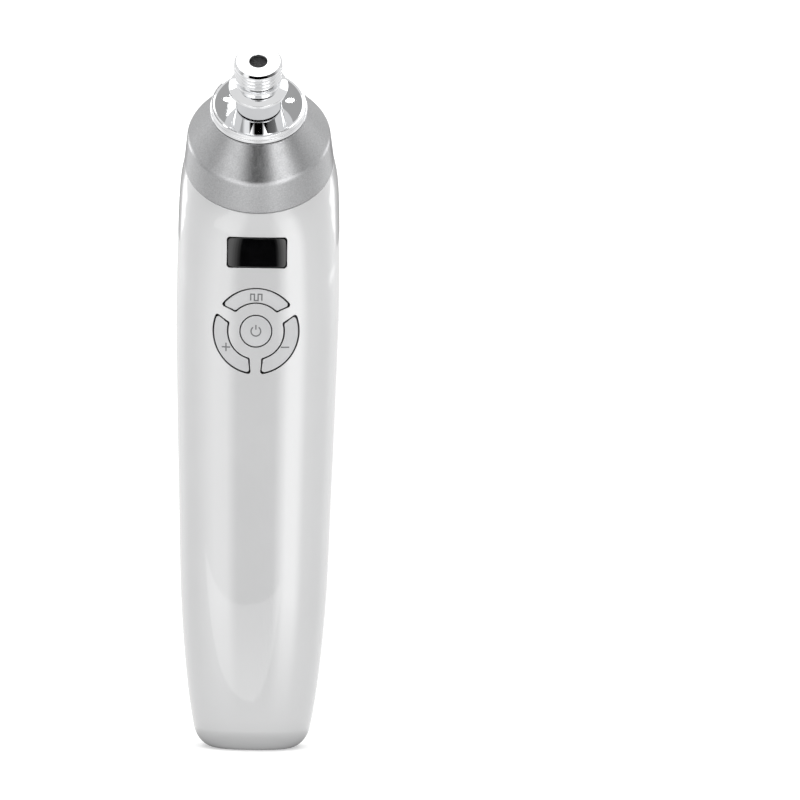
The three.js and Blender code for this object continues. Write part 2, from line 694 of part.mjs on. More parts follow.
// ---------------------------------------------------------------- the whole device
const device = new THREE.Group();
device.add(headGroup());
device.add(
  part("front_shell", frontShell(), gloss()),
  part("back_shell", backShell(), gloss()),
  part("display_window", windowPane, blackGlass()),
  part("display_gasket", gasketRing(), rubber()),
  part("display_module", displayModule(), darkPlastic()),
);
for (const key of KEYS) {
  device.add(part(key.name + "_button", keyCap(key), capWhite()));
  const plunger = alongY(PLUNGER.r, key.x, key.z, PLUNGER.front, PLUNGER.back, 12);
  device.add(part(key.name + "_plunger", plunger, palePlastic()));
  device.add(part(key.name + "_switch", keySwitch(key), darkPlastic()));
}
device.add(
  part("main_board", mainBoard(), boardGreen()),
  part("controller_chip", onBoard(0, 101.6, 3.5, 3.5, 1.1), darkPlastic()),
  part("charge_chip", onBoard(6.6, 101.4, 1.6, 2.2, 1.2), darkPlastic()),
  part("pump_connector", onBoard(-5.8, 95.9, 2.6, 1.6, 5.4), palePlastic()),
  part("battery_connector", onBoard(5.8, 95.9, 2.6, 1.6, 5.4), palePlastic()),
);
BOARD_HOLES.forEach(([x, z], i) => {
  const headFace = BOARD.front + BOARD.thick + GAP;
  device.add(part("board_screw_" + (i + 1), screwAlongY(x, z, headFace, -5.6), steel()));
});
device.add(
  part("pump_motor", motorCan(), steel()),
  part("motor_end_cap", motorEndCap(), palePlastic()),
  part("motor_shaft", alongZ(CRANK.shaftR, 0, MOTOR.centreY, 98.4, 114.4, 16), steel()),
  part("crank", crank(), brass()),
  part("pump_housing", pumpHousing(), darkPlastic()),
  part("piston_rod", pistonRod(), palePlastic()),
  part("diaphragm", discAlongX(5.6, 3.6, 9.3, 10.5), rubber()),
  part("valve_plate", valvePlate(), palePlastic()),
  part("pump_head", pumpHead(), darkPlastic()),
  part("exhaust_silencer", turned([[1.9, 123.4], [2.8, 123.4], [2.8, 129.6], [1.9, 129.6]], 20)
    .translate(OUTLET.x, OUTLET.y, 0), sponge()),
  part("motor_clamp", motorClamp(), palePlastic()),
);
CLAMP_SCREWS.forEach(({ x, z }, i) => {
  device.add(part("clamp_screw_" + (i + 1), screwAlongY(x, z, CLAMP.ear - GAP, 16), steel()));
});
device.add(
  part("battery_cell", batteryCell(), cellWrap()),
  part("battery_cradle", batteryCradle(), palePlastic()),
  part("charging_board", block([-8, -4.6, 7.8], [8, 10, 9.2]), boardGreen()),
  part("charging_socket", chargingSocket(), steel()),
  part("suction_hose", suctionHose(), silicone()),
);
for (const { name, color, points } of LEADS) {
  device.add(part(name, routed(points, 0.6, 0, 10), wire(color)));
}

// The origin is at the middle of the footprint box, on the resting surface.
const whole = new THREE.Box3().setFromObject(device, true);
const middle = whole.getCenter(new THREE.Vector3());
device.position.set(0, -middle.y, 0);

const extractor = new THREE.Group();
extractor.add(device);

export default extractor;
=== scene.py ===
"""The looks of a hand-held blackhead vacuum extractor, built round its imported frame.

Shapes are worked out in the device's own millimetres: +Z up, the keys face -Y, and the head leans
forwards. They are moved to the row frame, in metres, when a piece is made.
"""
import math

import bmesh
import bpy
import numpy as np
from mathutils import Matrix, Vector, noise
from mathutils.geometry import delaunay_2d_cdt


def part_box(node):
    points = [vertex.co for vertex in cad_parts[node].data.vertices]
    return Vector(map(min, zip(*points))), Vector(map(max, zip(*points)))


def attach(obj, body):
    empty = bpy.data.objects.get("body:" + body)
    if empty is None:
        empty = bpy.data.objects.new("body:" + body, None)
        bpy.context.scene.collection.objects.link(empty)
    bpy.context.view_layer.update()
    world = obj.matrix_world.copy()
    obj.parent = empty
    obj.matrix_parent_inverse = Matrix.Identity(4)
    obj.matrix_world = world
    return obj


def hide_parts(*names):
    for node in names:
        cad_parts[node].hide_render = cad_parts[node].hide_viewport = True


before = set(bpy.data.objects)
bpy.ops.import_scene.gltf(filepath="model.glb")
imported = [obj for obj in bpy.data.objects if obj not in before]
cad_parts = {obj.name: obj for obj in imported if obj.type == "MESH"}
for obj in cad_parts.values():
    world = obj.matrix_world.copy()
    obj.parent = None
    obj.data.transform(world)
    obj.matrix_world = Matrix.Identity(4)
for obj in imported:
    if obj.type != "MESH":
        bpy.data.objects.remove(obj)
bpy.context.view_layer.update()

# ---------------------------------------------------------------- driving dimensions, mm
MM = 0.001

# The body's side profile and width: front y, front z, back y, back z, half width.
STATIONS = np.array([
    [-9.8, 0, 16.2, 0, 14.6],
    [-10.9, 14, 17.3, 14, 17.1],
    [-11.8, 38, 19.0, 38, 19.45],
    [-12.2, 68, 20.8, 68, 20.55],
    [-12.2, 96, 22.5, 98, 21.45],
    [-12.1, 116, 23.8, 122, 21.95],
    [-12.3, 130, 24.6, 143, 21.75],
    [-13.0, 138.5, 23.6, 158.5, 21.45],
    [-14.1, 142.4, 20.6, 165.8, 21.0],
    [-15.4, 145.8, 15.4, 171.6, 20.1],
])
SQUARENESS = 2.3  # superellipse exponent of a mid-body section; the head end is round
ROUND_FROM = 0.72  # place along the body where sections start to turn round
BASE_ROUND = 4.6
BASE_RISE = 5.5
HEAD_TILT = math.radians(40)
HEAD_Z = 158.7

WALL = 2.0
EDGE_DEPTH = 1.4  # how far an edge runs into the wall past its lip
SEAM = 0.39  # the shells part this far behind the widest line, of the half depth
SEAM_GAP = 0.12
SEAM_LIP = 0.3
RIM_LIP = 0.3
ROW_STEP = 1.2
SHELL_COLUMNS = 132
BASE_STEP = 1.6  # spacing of the points over the flat base
PANEL = {"beside": 2.2, "below": 2.0, "above": 2.2, "clear": 0.45}  # room round the front's holes

WINDOW = {"z": 135.1, "width": 16.0, "height": 8.2, "corner": 0.9}
RING_Z = 113.9
POWER_R = 4.1
KEY = {"inner": 7.75, "outer": 11.35, "spoke": 3.5, "corner": 0.8}
KEY_PROUD = 0.2
KEY_GAP = 0.33
KEY_LIP = 0.16
HOLE_LIP = 0.13
WINDOW_LIP = 0.2
WINDOW_GAP = 0.12
DISH = 0.35  # hollow of the power key
DISH_RIM = 0.25
KEY_SLOPE = 0.3  # how far a curved key sinks towards its outer edge
KEY_LEVEL = 0.6  # how far it stays level from its inner edge
FLANGE = {"front": -7.2, "back": -6.4, "grow": 0.6}
STEM_R = 1.2
STEM_END = -5.9
PANE_BACK = -10.4
SOCKET = {"x": 4.5, "y": 1.6, "centre": 2.6, "corner": 1.0}
SOCKET_GAP = 0.3
BOARD_FRONT = -1.6

SYMBOL_STROKE = 0.34
SYMBOL_PROUD = 0.012
SYMBOL_DEPTH = 0.06

PLATE_DISH_R = 97.0
THREAD = {"crest": 6.45, "depth": 0.6, "pitch": 1.2, "bottom": 32.95, "top": 36.9, "fade": 0.35}
FOAM = {"r": 2.36, "bottom": 34.2, "top": 36.9, "pore": 0.32, "depth": 0.2}
FOAM_EDGE = {"from": 0.86, "slope": 0.525}  # the share of the radius where it starts to drop

# The device sits this far along Y in the row frame.
SHIFT_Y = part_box("main_board")[0].y / MM - BOARD_FRONT

# ---------------------------------------------------------------- small maths
Y_AXIS = np.array([0.0, 1.0, 0.0])
Z_AXIS = np.array([0.0, 0.0, 1.0])


def unit(vectors):
    length = np.linalg.norm(vectors, axis=-1, keepdims=True)
    return vectors / np.maximum(length, 1e-12)


def signed_power(value, power):
    return np.sign(value) * np.abs(value) ** power


def smooth(low, high, value):
    share = np.clip((value - low) / (high - low), 0, 1)
    return share * share * (3 - 2 * share)


def spline(points, place):
    """A centripetal Catmull-Rom curve through the points, at places from 0 to 1."""
    padded = np.vstack([2 * points[0] - points[1], points, 2 * points[-1] - points[-2]])
    along = np.clip(place, 0, 1) * (len(points) - 1)
    first = np.minimum(along.astype(int), len(points) - 2)
    u = (along - first)[..., None]
    p0, p1, p2, p3 = (padded[first + k] for k in range(4))
    d0, d1, d2 = (
        np.linalg.norm(b - a, axis=-1, keepdims=True) ** 0.5
        for a, b in ((p0, p1), (p1, p2), (p2, p3))
    )
    start = ((p1 - p0) / d0 - (p2 - p0) / (d0 + d1) + (p2 - p1) / d1) * d1
    stop = ((p2 - p1) / d1 - (p3 - p1) / (d1 + d2) + (p3 - p2) / d2) * d1
    square = -3 * p1 + 3 * p2 - 2 * start - stop
    cube = 2 * p1 - 2 * p2 + start + stop
    return p1 + start * u + square * u * u + cube * u * u * u


def inside(points, polygon):
    """Which of the flat points lie in the polygon."""
    x, y = points[:, 0, None], points[:, 1, None]
    (x1, y1), (x2, y2) = polygon.T, np.roll(polygon, -1, axis=0).T
    rise = np.where(y1 == y2, 1.0, y2 - y1)
    crosses = ((y1 > y) != (y2 > y)) & (x < x1 + (y - y1) / rise * (x2 - x1))
    return crosses.sum(1) % 2 == 1


def clear_of(points, others, distance):
    """Which of the flat points keep a distance from all the others."""
    gaps = np.linalg.norm(points[:, None] - others[None], axis=-1)
    return gaps.min(1) > distance


def lattice(polygon, step):
    """Points in a staggered grid inside a flat polygon, clear of its edge."""
    low, high = polygon.min(0), polygon.max(0)
    x, y = np.meshgrid(np.arange(low[0], high[0], step), np.arange(low[1], high[1], step * 0.866))
    x[1::2] += step / 2
    points = np.column_stack([x.ravel(), y.ravel()])
    points = points[inside(points, polygon)]
    return points[clear_of(points, polygon, step * 0.6)] if len(points) else points


# ---------------------------------------------------------------- the body's form
Z_ZERO = np.zeros(len(STATIONS))
FRONT_LINE = np.column_stack([Z_ZERO, STATIONS[:, 0], STATIONS[:, 1]])
BACK_LINE = np.column_stack([Z_ZERO, STATIONS[:, 2], STATIONS[:, 3]])
WIDTH_LINE = np.column_stack([STATIONS[:, 4], Z_ZERO, (STATIONS[:, 1] + STATIONS[:, 3]) / 2])


def section(place):
    """Centre, depth direction, half depth, half width and exponent of the sections."""
    front, back = spline(FRONT_LINE, place), spline(BACK_LINE, place)
    centre, span = (front + back) / 2, back - front
    under = np.clip(1 - centre[..., 2] / BASE_RISE, 0, 1)
    rounding = BASE_ROUND * (1 - np.sqrt(1 - under * under))
    deep = np.linalg.norm(span, axis=-1) / 2 - rounding
    wide = spline(WIDTH_LINE, place)[..., 0] - rounding
    exponent = SQUARENESS + (2 - SQUARENESS) * smooth(ROUND_FROM, 1, place)
    return centre, unit(span), deep, wide, exponent


def body_point(place, angle):
    """The body's surface at an angle from the front, towards +X."""
    centre, axis, deep, wide, exponent = section(place)
    depth = -deep * signed_power(np.cos(angle), 2 / exponent)
    points = centre + depth[..., None] * axis
    points[..., 0] += wide * signed_power(np.sin(angle), 2 / exponent)
    return points


def body_frame(place, angle):
    """Points, outward normals, and unit directions round the body and up it."""
    along, turn = 1e-4, 1e-3
    high, low = np.minimum(place + along, 1), np.maximum(place - along, 0)
    up = body_point(high, angle) - body_point(low, angle)
    around = body_point(place, angle + turn) - body_point(place, angle - turn)
    return body_point(place, angle), unit(np.cross(around, up)), unit(around), unit(up)


PLACES = np.linspace(0, 1, 2001)
CENTRE_HEIGHTS = section(PLACES)[0][:, 2]


def place_at(height):
    """The place along the body whose section centre has this height."""
    return np.interp(height, CENTRE_HEIGHTS, PLACES)


def on_front(flat, lift=None):
    """Points on the front of the body over flat (x, z) places, lifted along the normal."""
    x, z = flat[:, 0], flat[:, 1]
    low, high = np.full(len(x), 0.3), np.full(len(x), 1.0)
    for _ in range(34):
        middle = (low + high) / 2
        centre, axis, deep, wide, exponent = section(middle)
        depth = -deep * (1 - np.abs(x / wide) ** exponent) ** (1 / exponent)
        below = centre[:, 2] + depth * axis[:, 2] < z
        low, high = np.where(below, middle, low), np.where(below, high, middle)
    exponent = section(low)[4]
    wide = section(low)[3]
    angle = np.arcsin(signed_power(x / wide, exponent / 2))
    points, normals, _, _ = body_frame(low, angle)
    return points if lift is None else points + normals * lift(flat)[:, None]


def front_frame(flat, lift=None):
    """Lifted front points with the normals of the lifted surface."""
    step = 0.02
    points = on_front(flat, lift)
    across, up = (
        on_front(flat + np.array(d), lift) - on_front(flat - np.array(d), lift)
        for d in ((step, 0), (0, step))
    )
    return points, unit(np.cross(across, up))


# ---------------------------------------------------------------- mesh making
class Skin:
    """Vertices with their normals, and the faces between them. No normal means the mesh's own."""

    def __init__(self):
        self.points = np.zeros((0, 3))
        self.normals = np.zeros((0, 3))
        self.faces = []

    def add(self, points, normals=None):
        first = len(self.points)
        flat = np.reshape(points, (-1, 3))
        own = np.zeros_like(flat) if normals is None else np.broadcast_to(normals, np.shape(points))
        self.points = np.vstack([self.points, flat])
        self.normals = np.vstack([self.normals, np.reshape(own, (-1, 3))])
        return np.arange(first, first + len(flat)).reshape(np.shape(points)[:-1])

    def quads(self, rows, closed=True, skip=None):
        """Faces between neighbouring rows of vertices."""
        rows = np.asarray(rows)
        along = np.hstack([rows, rows[:, :1]]) if closed else rows
        corners = np.stack([along[:-1, :-1], along[:-1, 1:], along[1:, 1:], along[1:, :-1]], axis=-1)
        keep = np.ones(corners.shape[:2], bool) if skip is None else ~skip
        self.faces += [tuple(face) for face in corners[keep].tolist()]

    def fill(self, loops, extra=(), axes=(0, 2)):
        """Triangles inside the first loop and outside the others, through the extra vertices."""
        index = np.concatenate([*loops, np.asarray(extra, int)])
        flat = self.points[index][:, list(axes)]
        edges, start = [], 0
        for loop in loops:
            count = len(loop)
            edges += [(start + k, start + (k + 1) % count) for k in range(count)]
            start += count
        found = delaunay_2d_cdt([Vector(point) for point in flat], edges, [], 1, 1e-7)
        names = np.array([index[origins[0]] for origins in found[3]])
        faces = names[np.array(found[2])]
        middles = self.points[faces][:, :, list(axes)].mean(1)
        for hole in loops[1:]:
            keep = ~inside(middles, self.points[hole][:, list(axes)])
            faces, middles = faces[keep], middles[keep]
        self.faces += [tuple(face) for face in faces.tolist()]

    def fan(self, loop, hub):
        self.faces += [(loop[k - 1], loop[k], hub) for k in range(len(loop))]

    def lip(self, base, outward, wall, radius, depth, steps=5):
        """Rolls a closed edge over a radius and down a wall of some depth."""
        points, normals = self.points[base], self.normals[base]
        rows = [base]
        for turn in np.linspace(0, math.pi / 2, steps + 1)[1:]:
            sine, cosine = math.sin(turn), math.cos(turn)
            moved = points + radius * (sine * outward + (1 - cosine) * wall)
            rows.append(self.add(moved, unit(cosine * normals + sine * outward)))
        if depth:
            rows.append(self.add(self.points[rows[-1]] + depth * wall, unit(outward)))
        self.quads(rows)
        return rows[-1]

    def thicken(self, faces, loops, ends, thickness):
        """An inner side for the given outer faces, joined to the ends of the walls round it."""
        used = np.unique(np.concatenate([list(face) for face in faces]))
        inner = np.full(len(self.points), -1)
        inner[used] = self.add(
            self.points[used] - thickness * self.normals[used], -self.normals[used]
        )
        self.faces += [tuple(inner[list(face)][::-1]) for face in faces]
        for loop, end in zip(loops, ends):
            self.quads([end, inner[loop]])

    def make(self, name, finish, body, slot, *stands_for):
        """The closed mesh as a piece in the row frame, riding on a body."""
        used = np.unique(np.concatenate([list(face) for face in self.faces]))
        new_index = np.full(len(self.points), -1)
        new_index[used] = np.arange(len(used))
        points = (self.points[used] + SHIFT_Y * Y_AXIS) * MM
        mesh = bpy.data.meshes.new(name)
        mesh.from_pydata(points.tolist(), [], [new_index[list(f)].tolist() for f in self.faces])
        work = bmesh.new()
        work.from_mesh(mesh)
        bmesh.ops.recalc_face_normals(work, faces=work.faces)
        work.to_mesh(mesh)
        work.free()
        mesh.shade_smooth()
        mesh.normals_split_custom_set_from_vertices(self.normals[used].tolist())
        mesh.materials.append(finish)
        piece = bpy.data.objects.new(name, mesh)
        bpy.context.scene.collection.objects.link(piece)
        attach(piece, body)
        if stands_for:
            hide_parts(*stands_for)
        return piece


# ---------------------------------------------------------------- outlines in x and z
def disc_outline(radius, x=0.0, z=RING_Z, count=96):
    angle = np.linspace(0, 2 * math.pi, count, endpoint=False)
    return np.column_stack([x + radius * np.cos(angle), z + radius * np.sin(angle)])


def rounded_rectangle(half_x, half_z, corner, x, z, across, up, steps=6):
    """Corner arcs joined by edges of even steps, anticlockwise from the lower right."""
    points = []
    centres = [(1, -1), (1, 1), (-1, 1), (-1, -1)]
    edges = [up, across, up, across]
    for k, (side_x, side_z) in enumerate(centres):
        middle = np.array([x + side_x * (half_x - corner), z + side_z * (half_z - corner)])
        turns = (k - 1) * math.pi / 2 + np.linspace(0, math.pi / 2, steps + 1)
        arc = middle + corner * np.column_stack([np.cos(turns), np.sin(turns)])
        next_x, next_z = centres[(k + 1) % 4]
        following = np.array([x + next_x * (half_x - corner), z + next_z * (half_z - corner)])
        following = following + corner * np.array([math.cos(turns[-1]), math.sin(turns[-1])])
        share = np.linspace(0, 1, edges[k], endpoint=False)[1:, None]
        points += [arc, arc[-1] * (1 - share) + following * share]
    return np.vstack(points)


def window_outline(grow):
    half_x, half_z = WINDOW["width"] / 2 + grow, WINDOW["height"] / 2 + grow
    return rounded_rectangle(half_x, half_z, WINDOW["corner"], 0, WINDOW["z"], 36, 18)


def socket_outline(grow):
    half_x, half_y = SOCKET["x"] + grow, SOCKET["y"] + grow
    return rounded_rectangle(half_x, half_y, SOCKET["corner"], 0, SOCKET["centre"], 16, 4)


def key_outline(turn, grow):
    """One of the three curved keys round the power key, centred on an angle."""
    outer, inner, cut = KEY["outer"] + grow, KEY["inner"] - grow, KEY["corner"]
    half_spoke = KEY["spoke"] / 2 - grow
    outer_end = math.pi / 3 - math.asin(half_spoke / outer)
    inner_end = math.pi / 3 - math.asin(half_spoke / inner)

    def at(radius, angle):
        angle = turn + np.asarray(angle)
        return np.stack([radius * np.cos(angle), RING_Z + radius * np.sin(angle)], axis=-1)

    def bend(start, corner, stop, steps=8):
        u = np.linspace(0, 1, steps, endpoint=False)[:, None]
        return (1 - u) ** 2 * start + 2 * u * (1 - u) * corner + u * u * stop

    def line(start, stop, steps=6):
        return start + np.linspace(0, 1, steps, endpoint=False)[:, None] * (stop - start)

    parts = [at(outer, np.linspace(-outer_end + cut / outer, outer_end - cut / outer, 56)[:-1])]
    for side in (1, -1):
        outer_arc = at(outer, side * (outer_end - cut / outer))
        outer_line = at(outer - cut, side * outer_end)
        inner_line = at(inner + cut, side * inner_end)
        inner_arc = at(inner, side * (inner_end - cut / inner))
        turn_out = bend(outer_arc, at(outer, side * outer_end), outer_line)
        turn_in = bend(inner_line, at(inner, side * inner_end), inner_arc)
        half = np.vstack([turn_out, line(outer_line, inner_line), turn_in, inner_arc[None]])
        if side > 0:
            inner_way = np.linspace(inner_end - cut / inner, -inner_end + cut / inner, 36)[1:-1]
            parts += [half, at(inner, inner_way)]
        else:
            parts.append(half[::-1])
    return np.vstack(parts)[:-1]


KEY_TURNS = {"mode": math.pi / 2, "plus": math.pi * 7 / 6, "minus": math.pi * 11 / 6}


def outline_of(key):
    if key == "power":
        return lambda grow: disc_outline(POWER_R + grow)
    return lambda grow: key_outline(KEY_TURNS[key], grow)


KEYS = ["power", *KEY_TURNS]


def key_centre(key):
    if key == "power":
        return np.array([0, RING_Z])
    middle = (KEY["inner"] + KEY["outer"]) / 2
    return np.array([middle * math.cos(KEY_TURNS[key]), RING_Z + middle * math.sin(KEY_TURNS[key])])


# ---------------------------------------------------------------- the two shells
def body_places():
    """Places of the rows: close together over the rounded base, then in even steps."""
    turns = np.linspace(math.pi / 2, 0, 13)
    base = BASE_RISE * (1 - np.sin(turns))
    top = CENTRE_HEIGHTS[-1] - RIM_LIP * math.cos(HEAD_TILT)
    rest = np.linspace(BASE_RISE, top, round((top - BASE_RISE) / ROW_STEP))[1:]
    return place_at(np.concatenate([base, rest]))


def seam_angle(place, offset):
    """The angle from the front at which a shell ends, beyond the parting line by offset."""
    _, _, deep, _, exponent = section(place)
    return np.arccos(-((SEAM + offset / deep) ** (exponent / 2)))


def shell_grid(front):
    place = body_places()
    inset = SEAM_GAP / 2 + SEAM_LIP
    edge = seam_angle(place, -inset if front else inset)
    start, stop = (-edge, edge) if front else (edge, 2 * math.pi - edge)
    share = np.linspace(0, 1, SHELL_COLUMNS + 1)
    angle = start[:, None] + (stop - start)[:, None] * share
    return np.broadcast_to(place[:, None], angle.shape), angle


def shell_edges(skin, grid, around, up, chord, side):
    """The shell's one outer edge as a loop, with the direction out of the shell along it."""
    loop = np.concatenate([grid[:, -1], grid[-1, -2:0:-1], grid[::-1, 0], chord])
    outward = np.concatenate([
        around[:, -1],
        up[-1, -2:0:-1],
        -around[::-1, 0],
        np.tile(side * Y_AXIS, (len(chord), 1)),
    ])
    rows, columns = grid.shape
    outward[rows - 1] += up[-1, -1]
    outward[rows + columns - 2] += up[-1, 0]
    return loop, outward


def make_shell(name, front, finish, hole_outlines):
    skin = Skin()
    place, angle = shell_grid(front)
    points, normals, around, up = body_frame(place, angle)
    grid = skin.add(points, normals)
    side = 1 if front else -1
    left, right = points[0, 0], points[0, -1]
    share = np.linspace(0, 1, 26)[1:-1, None]
    chord = skin.add(left + share * (right - left), -Z_AXIS)
    base_loop = np.concatenate([grid[0], chord[::-1]])
    holes, base_holes, skip = [], [], None

    if front:
        skip, holes = panel(skin, grid, points, hole_outlines)
        base_holes = [skin.add(on_base(socket_outline(SOCKET_GAP + HOLE_LIP)), -Z_AXIS)]
    skin.quads(grid, closed=False, skip=skip)
    base_flat = skin.points[base_loop][:, :2]
    extra = lattice(base_flat, BASE_STEP)
    for hole in base_holes:
        rim = skin.points[hole][:, :2]
        extra = extra[~inside(extra, rim) & clear_of(extra, rim, 0.7)]
    skin.normals[grid[0]] = -Z_AXIS
    skin.fill([base_loop, *base_holes], skin.add(on_base(extra), -Z_AXIS), axes=(0, 1))
    outer_faces = list(skin.faces)

    loop, outward = shell_edges(skin, grid, around, up, chord, side)
    inward = -skin.normals[loop]
    loops, ends = [loop], [skin.lip(loop, outward, inward, SEAM_LIP, EDGE_DEPTH)]
    holes += [(hole, on_base(socket_outline(SOCKET_GAP)), HOLE_LIP, Z_AXIS) for hole in base_holes]
    for hole, target, lip_size, wall in holes:
        edge = unit(target - skin.points[hole])
        loops.append(hole)
        ends.append(skin.lip(hole, edge, wall, lip_size, EDGE_DEPTH))
    skin.thicken(outer_faces, loops, ends, WALL)
    return skin.make(name, finish, "housing", "white_gloss", name)


def on_base(flat):
    return np.column_stack([flat, np.zeros(len(flat))])


def panel(skin, grid, points, hole_outlines):
    """Rebuilds the front round the holes. Gives the grid faces to skip, and the holes."""
    middle = grid.shape[1] // 2
    front_z = points[:, middle, 2]
    reach = KEY["outer"] + PANEL["beside"]
    columns = np.nonzero(points[len(points) // 2, :, 0] > reach)[0]
    last = columns[columns > middle][0]
    first = 2 * middle - last
    bottom = np.nonzero(front_z < RING_Z - KEY["outer"] - PANEL["below"])[0][-1]
    top = np.nonzero(front_z < WINDOW["z"] + WINDOW["height"] / 2 + PANEL["above"])[0][-1]
    inner = grid[bottom + 1:top, first + 1:last].ravel()
    border = np.concatenate([
        grid[bottom, first:last],
        grid[bottom:top, last],
        grid[top, last:first:-1],
        grid[top:bottom:-1, first],
    ])
    holes = []
    for outline, gap, lip_size in hole_outlines:
        ring_points, ring_normals = front_frame(outline(gap + lip_size))
        ring = skin.add(ring_points, ring_normals)
        holes.append((ring, on_front(outline(gap)), lip_size, Y_AXIS))
        flat, rim = skin.points[inner][:, [0, 2]], ring_points[:, [0, 2]]
        inner = inner[~inside(flat, rim) & clear_of(flat, rim, PANEL["clear"])]
    skin.fill([border, *[hole[0] for hole in holes]], inner)
    skip = np.zeros((grid.shape[0] - 1, grid.shape[1] - 1), bool)
    skip[bottom:top, first:last] = True
    return skip, holes


# ---------------------------------------------------------------- keys, window and symbols
def key_lift(key):
    """How far the key's face stands out of the shell; the power key is hollowed."""
    def lift(flat):
        if key != "power":
            out = np.linalg.norm(flat - np.array([0, RING_Z]), axis=1)
            return KEY_PROUD - KEY_SLOPE * smooth(KEY["inner"] + KEY_LEVEL, KEY["outer"], out)
        radius = np.linalg.norm(flat - key_centre(key), axis=1) / (POWER_R - DISH_RIM)
        return KEY_PROUD - DISH * np.clip(1 - radius**2, 0, 1) ** 1.5
    return lift


def flat_row(flat, depth):
    return np.column_stack([flat[:, 0], np.full(len(flat), depth), flat[:, 1]])


def face_skin(outline, lift, lip_size, step):
    """The outer face of an inset piece, rolled over its edge. Gives the skin and its last row."""
    skin = Skin()
    rim = outline(-lip_size)
    loop = skin.add(*front_frame(rim, lift))
    extra = skin.add(*front_frame(lattice(rim, step), lift))
    skin.fill([loop], extra)
    edge = unit(on_front(outline(0), lift) - skin.points[loop])
    return skin, skin.lip(loop, edge, Y_AXIS, lip_size, 0)


def make_key(key, finish):
    outline, lift = outline_of(key), key_lift(key)
    skin, end = face_skin(outline, lift, KEY_LIP, 0.5)
    wall_normals = unit(flat_row(outline(0.1) - outline(0), 0))
    rows = [
        end,
        skin.add(flat_row(outline(0), FLANGE["front"]), wall_normals),
        skin.add(flat_row(outline(FLANGE["grow"]), FLANGE["front"])),
        skin.add(flat_row(outline(FLANGE["grow"]), FLANGE["back"])),
    ]
    skin.quads(rows)
    x, z = key_centre(key)
    stem = disc_outline(STEM_R, x, z, 24)
    stem_rows = [skin.add(flat_row(stem, FLANGE["back"])), skin.add(flat_row(stem, STEM_END))]
    inner = lattice(outline(FLANGE["grow"]), 1.2)
    inner = inner[~inside(inner, stem) & clear_of(inner, stem, 0.4)]
    skin.fill([rows[-1], stem_rows[0]], skin.add(flat_row(inner, FLANGE["back"])))
    skin.quads(stem_rows)
    skin.fan(stem_rows[1], skin.add(np.array([[x, STEM_END, z]]))[0])
    return skin.make(key + "_key_cap", finish, key + "_key", "key_white", key + "_button")


def flush(flat):
    return np.zeros(len(flat))


def make_window(finish):
    skin, end = face_skin(lambda grow: window_outline(grow - WINDOW_GAP), flush, WINDOW_LIP, 0.7)
    pane = window_outline(-WINDOW_GAP)
    back = skin.add(flat_row(pane, PANE_BACK))
    skin.quads([end, back])
    skin.fill([back], skin.add(flat_row(lattice(pane, 1.2), PANE_BACK)))
    return skin.make("window_pane", finish, "housing", "black_window", "display_window")


def stroke(line, width):
    """The outline of a mitred stroke along an open line."""
    line = np.array(line, float)
    along = unit(np.diff(line, axis=0))
    before, after = np.vstack([along[:1], along]), np.vstack([along, along[-1:]])
    normals = unit(np.column_stack([-(before + after)[:, 1], (before + after)[:, 0]]))
    side = np.column_stack([-before[:, 1], before[:, 0]])
    stretch = width / 2 / np.maximum((normals * side).sum(1), 0.3)
    offset = normals * stretch[:, None]
    return np.vstack([line - offset, (line + offset)[::-1]])


def densify(outline, step=0.2):
    """The closed outline with more points along its straight stretches."""
    points = []
    for start, stop in zip(outline, np.roll(outline, -1, axis=0)):
        count = max(1, math.ceil(np.linalg.norm(stop - start) / step))
        points += [start + (stop - start) * k / count for k in range(count)]
    return np.array(points)


def arc_line(radius, start, stop, count):
    angle = np.radians(np.linspace(start, stop, count))
    return np.column_stack([radius * np.cos(angle), radius * np.sin(angle)])


def plus_outline(half, width):
    corner = width / 2
    arm = [[corner, corner], [half, corner], [half, -corner]]
    turned = []
    for quarter in range(4):
        angle = -quarter * math.pi / 2
        spin = np.array([[math.cos(angle), math.sin(angle)], [-math.sin(angle), math.cos(angle)]])
        turned.append(np.array(arm) @ spin)
    return np.vstack(turned)


WAVE = [
    [-1.5, -0.85], [-1.5, 0.85], [-0.5, 0.85], [-0.5, -0.85],
    [0.5, -0.85], [0.5, 0.85], [1.5, 0.85], [1.5, -0.85],
]
SYMBOLS = {  # outlines about the symbol's own middle, and the middle's place from the ring's
    "power": (
        [
            stroke(arc_line(1.3, 125, 415, 40), SYMBOL_STROKE),
            stroke([[0, 0.45], [0, 0.85], [0, 1.25], [0, 1.7]], SYMBOL_STROKE),
        ],
        (0, 0),
    ),
    "plus": ([plus_outline(1.15, SYMBOL_STROKE)], (-7.95, -4.4)),
    "minus": ([stroke([[-1.15, 0], [-0.4, 0], [0.4, 0], [1.15, 0]], SYMBOL_STROKE)], (7.85, -4.25)),
    "mode": ([stroke(WAVE, SYMBOL_STROKE)], (0, 9.15)),
}


def make_symbol(key, finish):
    """A printed mark: thin closed slabs that follow the key's face."""
    outlines, (x, z) = SYMBOLS[key]
    lift = key_lift(key)
    skin = Skin()
    for outline in outlines:
        flat = densify(outline) + np.array([x, z + RING_Z])
        top_points, top_normals = front_frame(flat, lambda f: lift(f) + SYMBOL_PROUD)
        low_points, _ = front_frame(flat, lambda f: lift(f) - SYMBOL_DEPTH)
        top, low = skin.add(top_points, top_normals), skin.add(low_points)
        skin.fill([top])
        skin.fill([low])
        skin.quads([top, low])
    return skin.make(key + "_symbol", finish, key + "_key", "key_white")


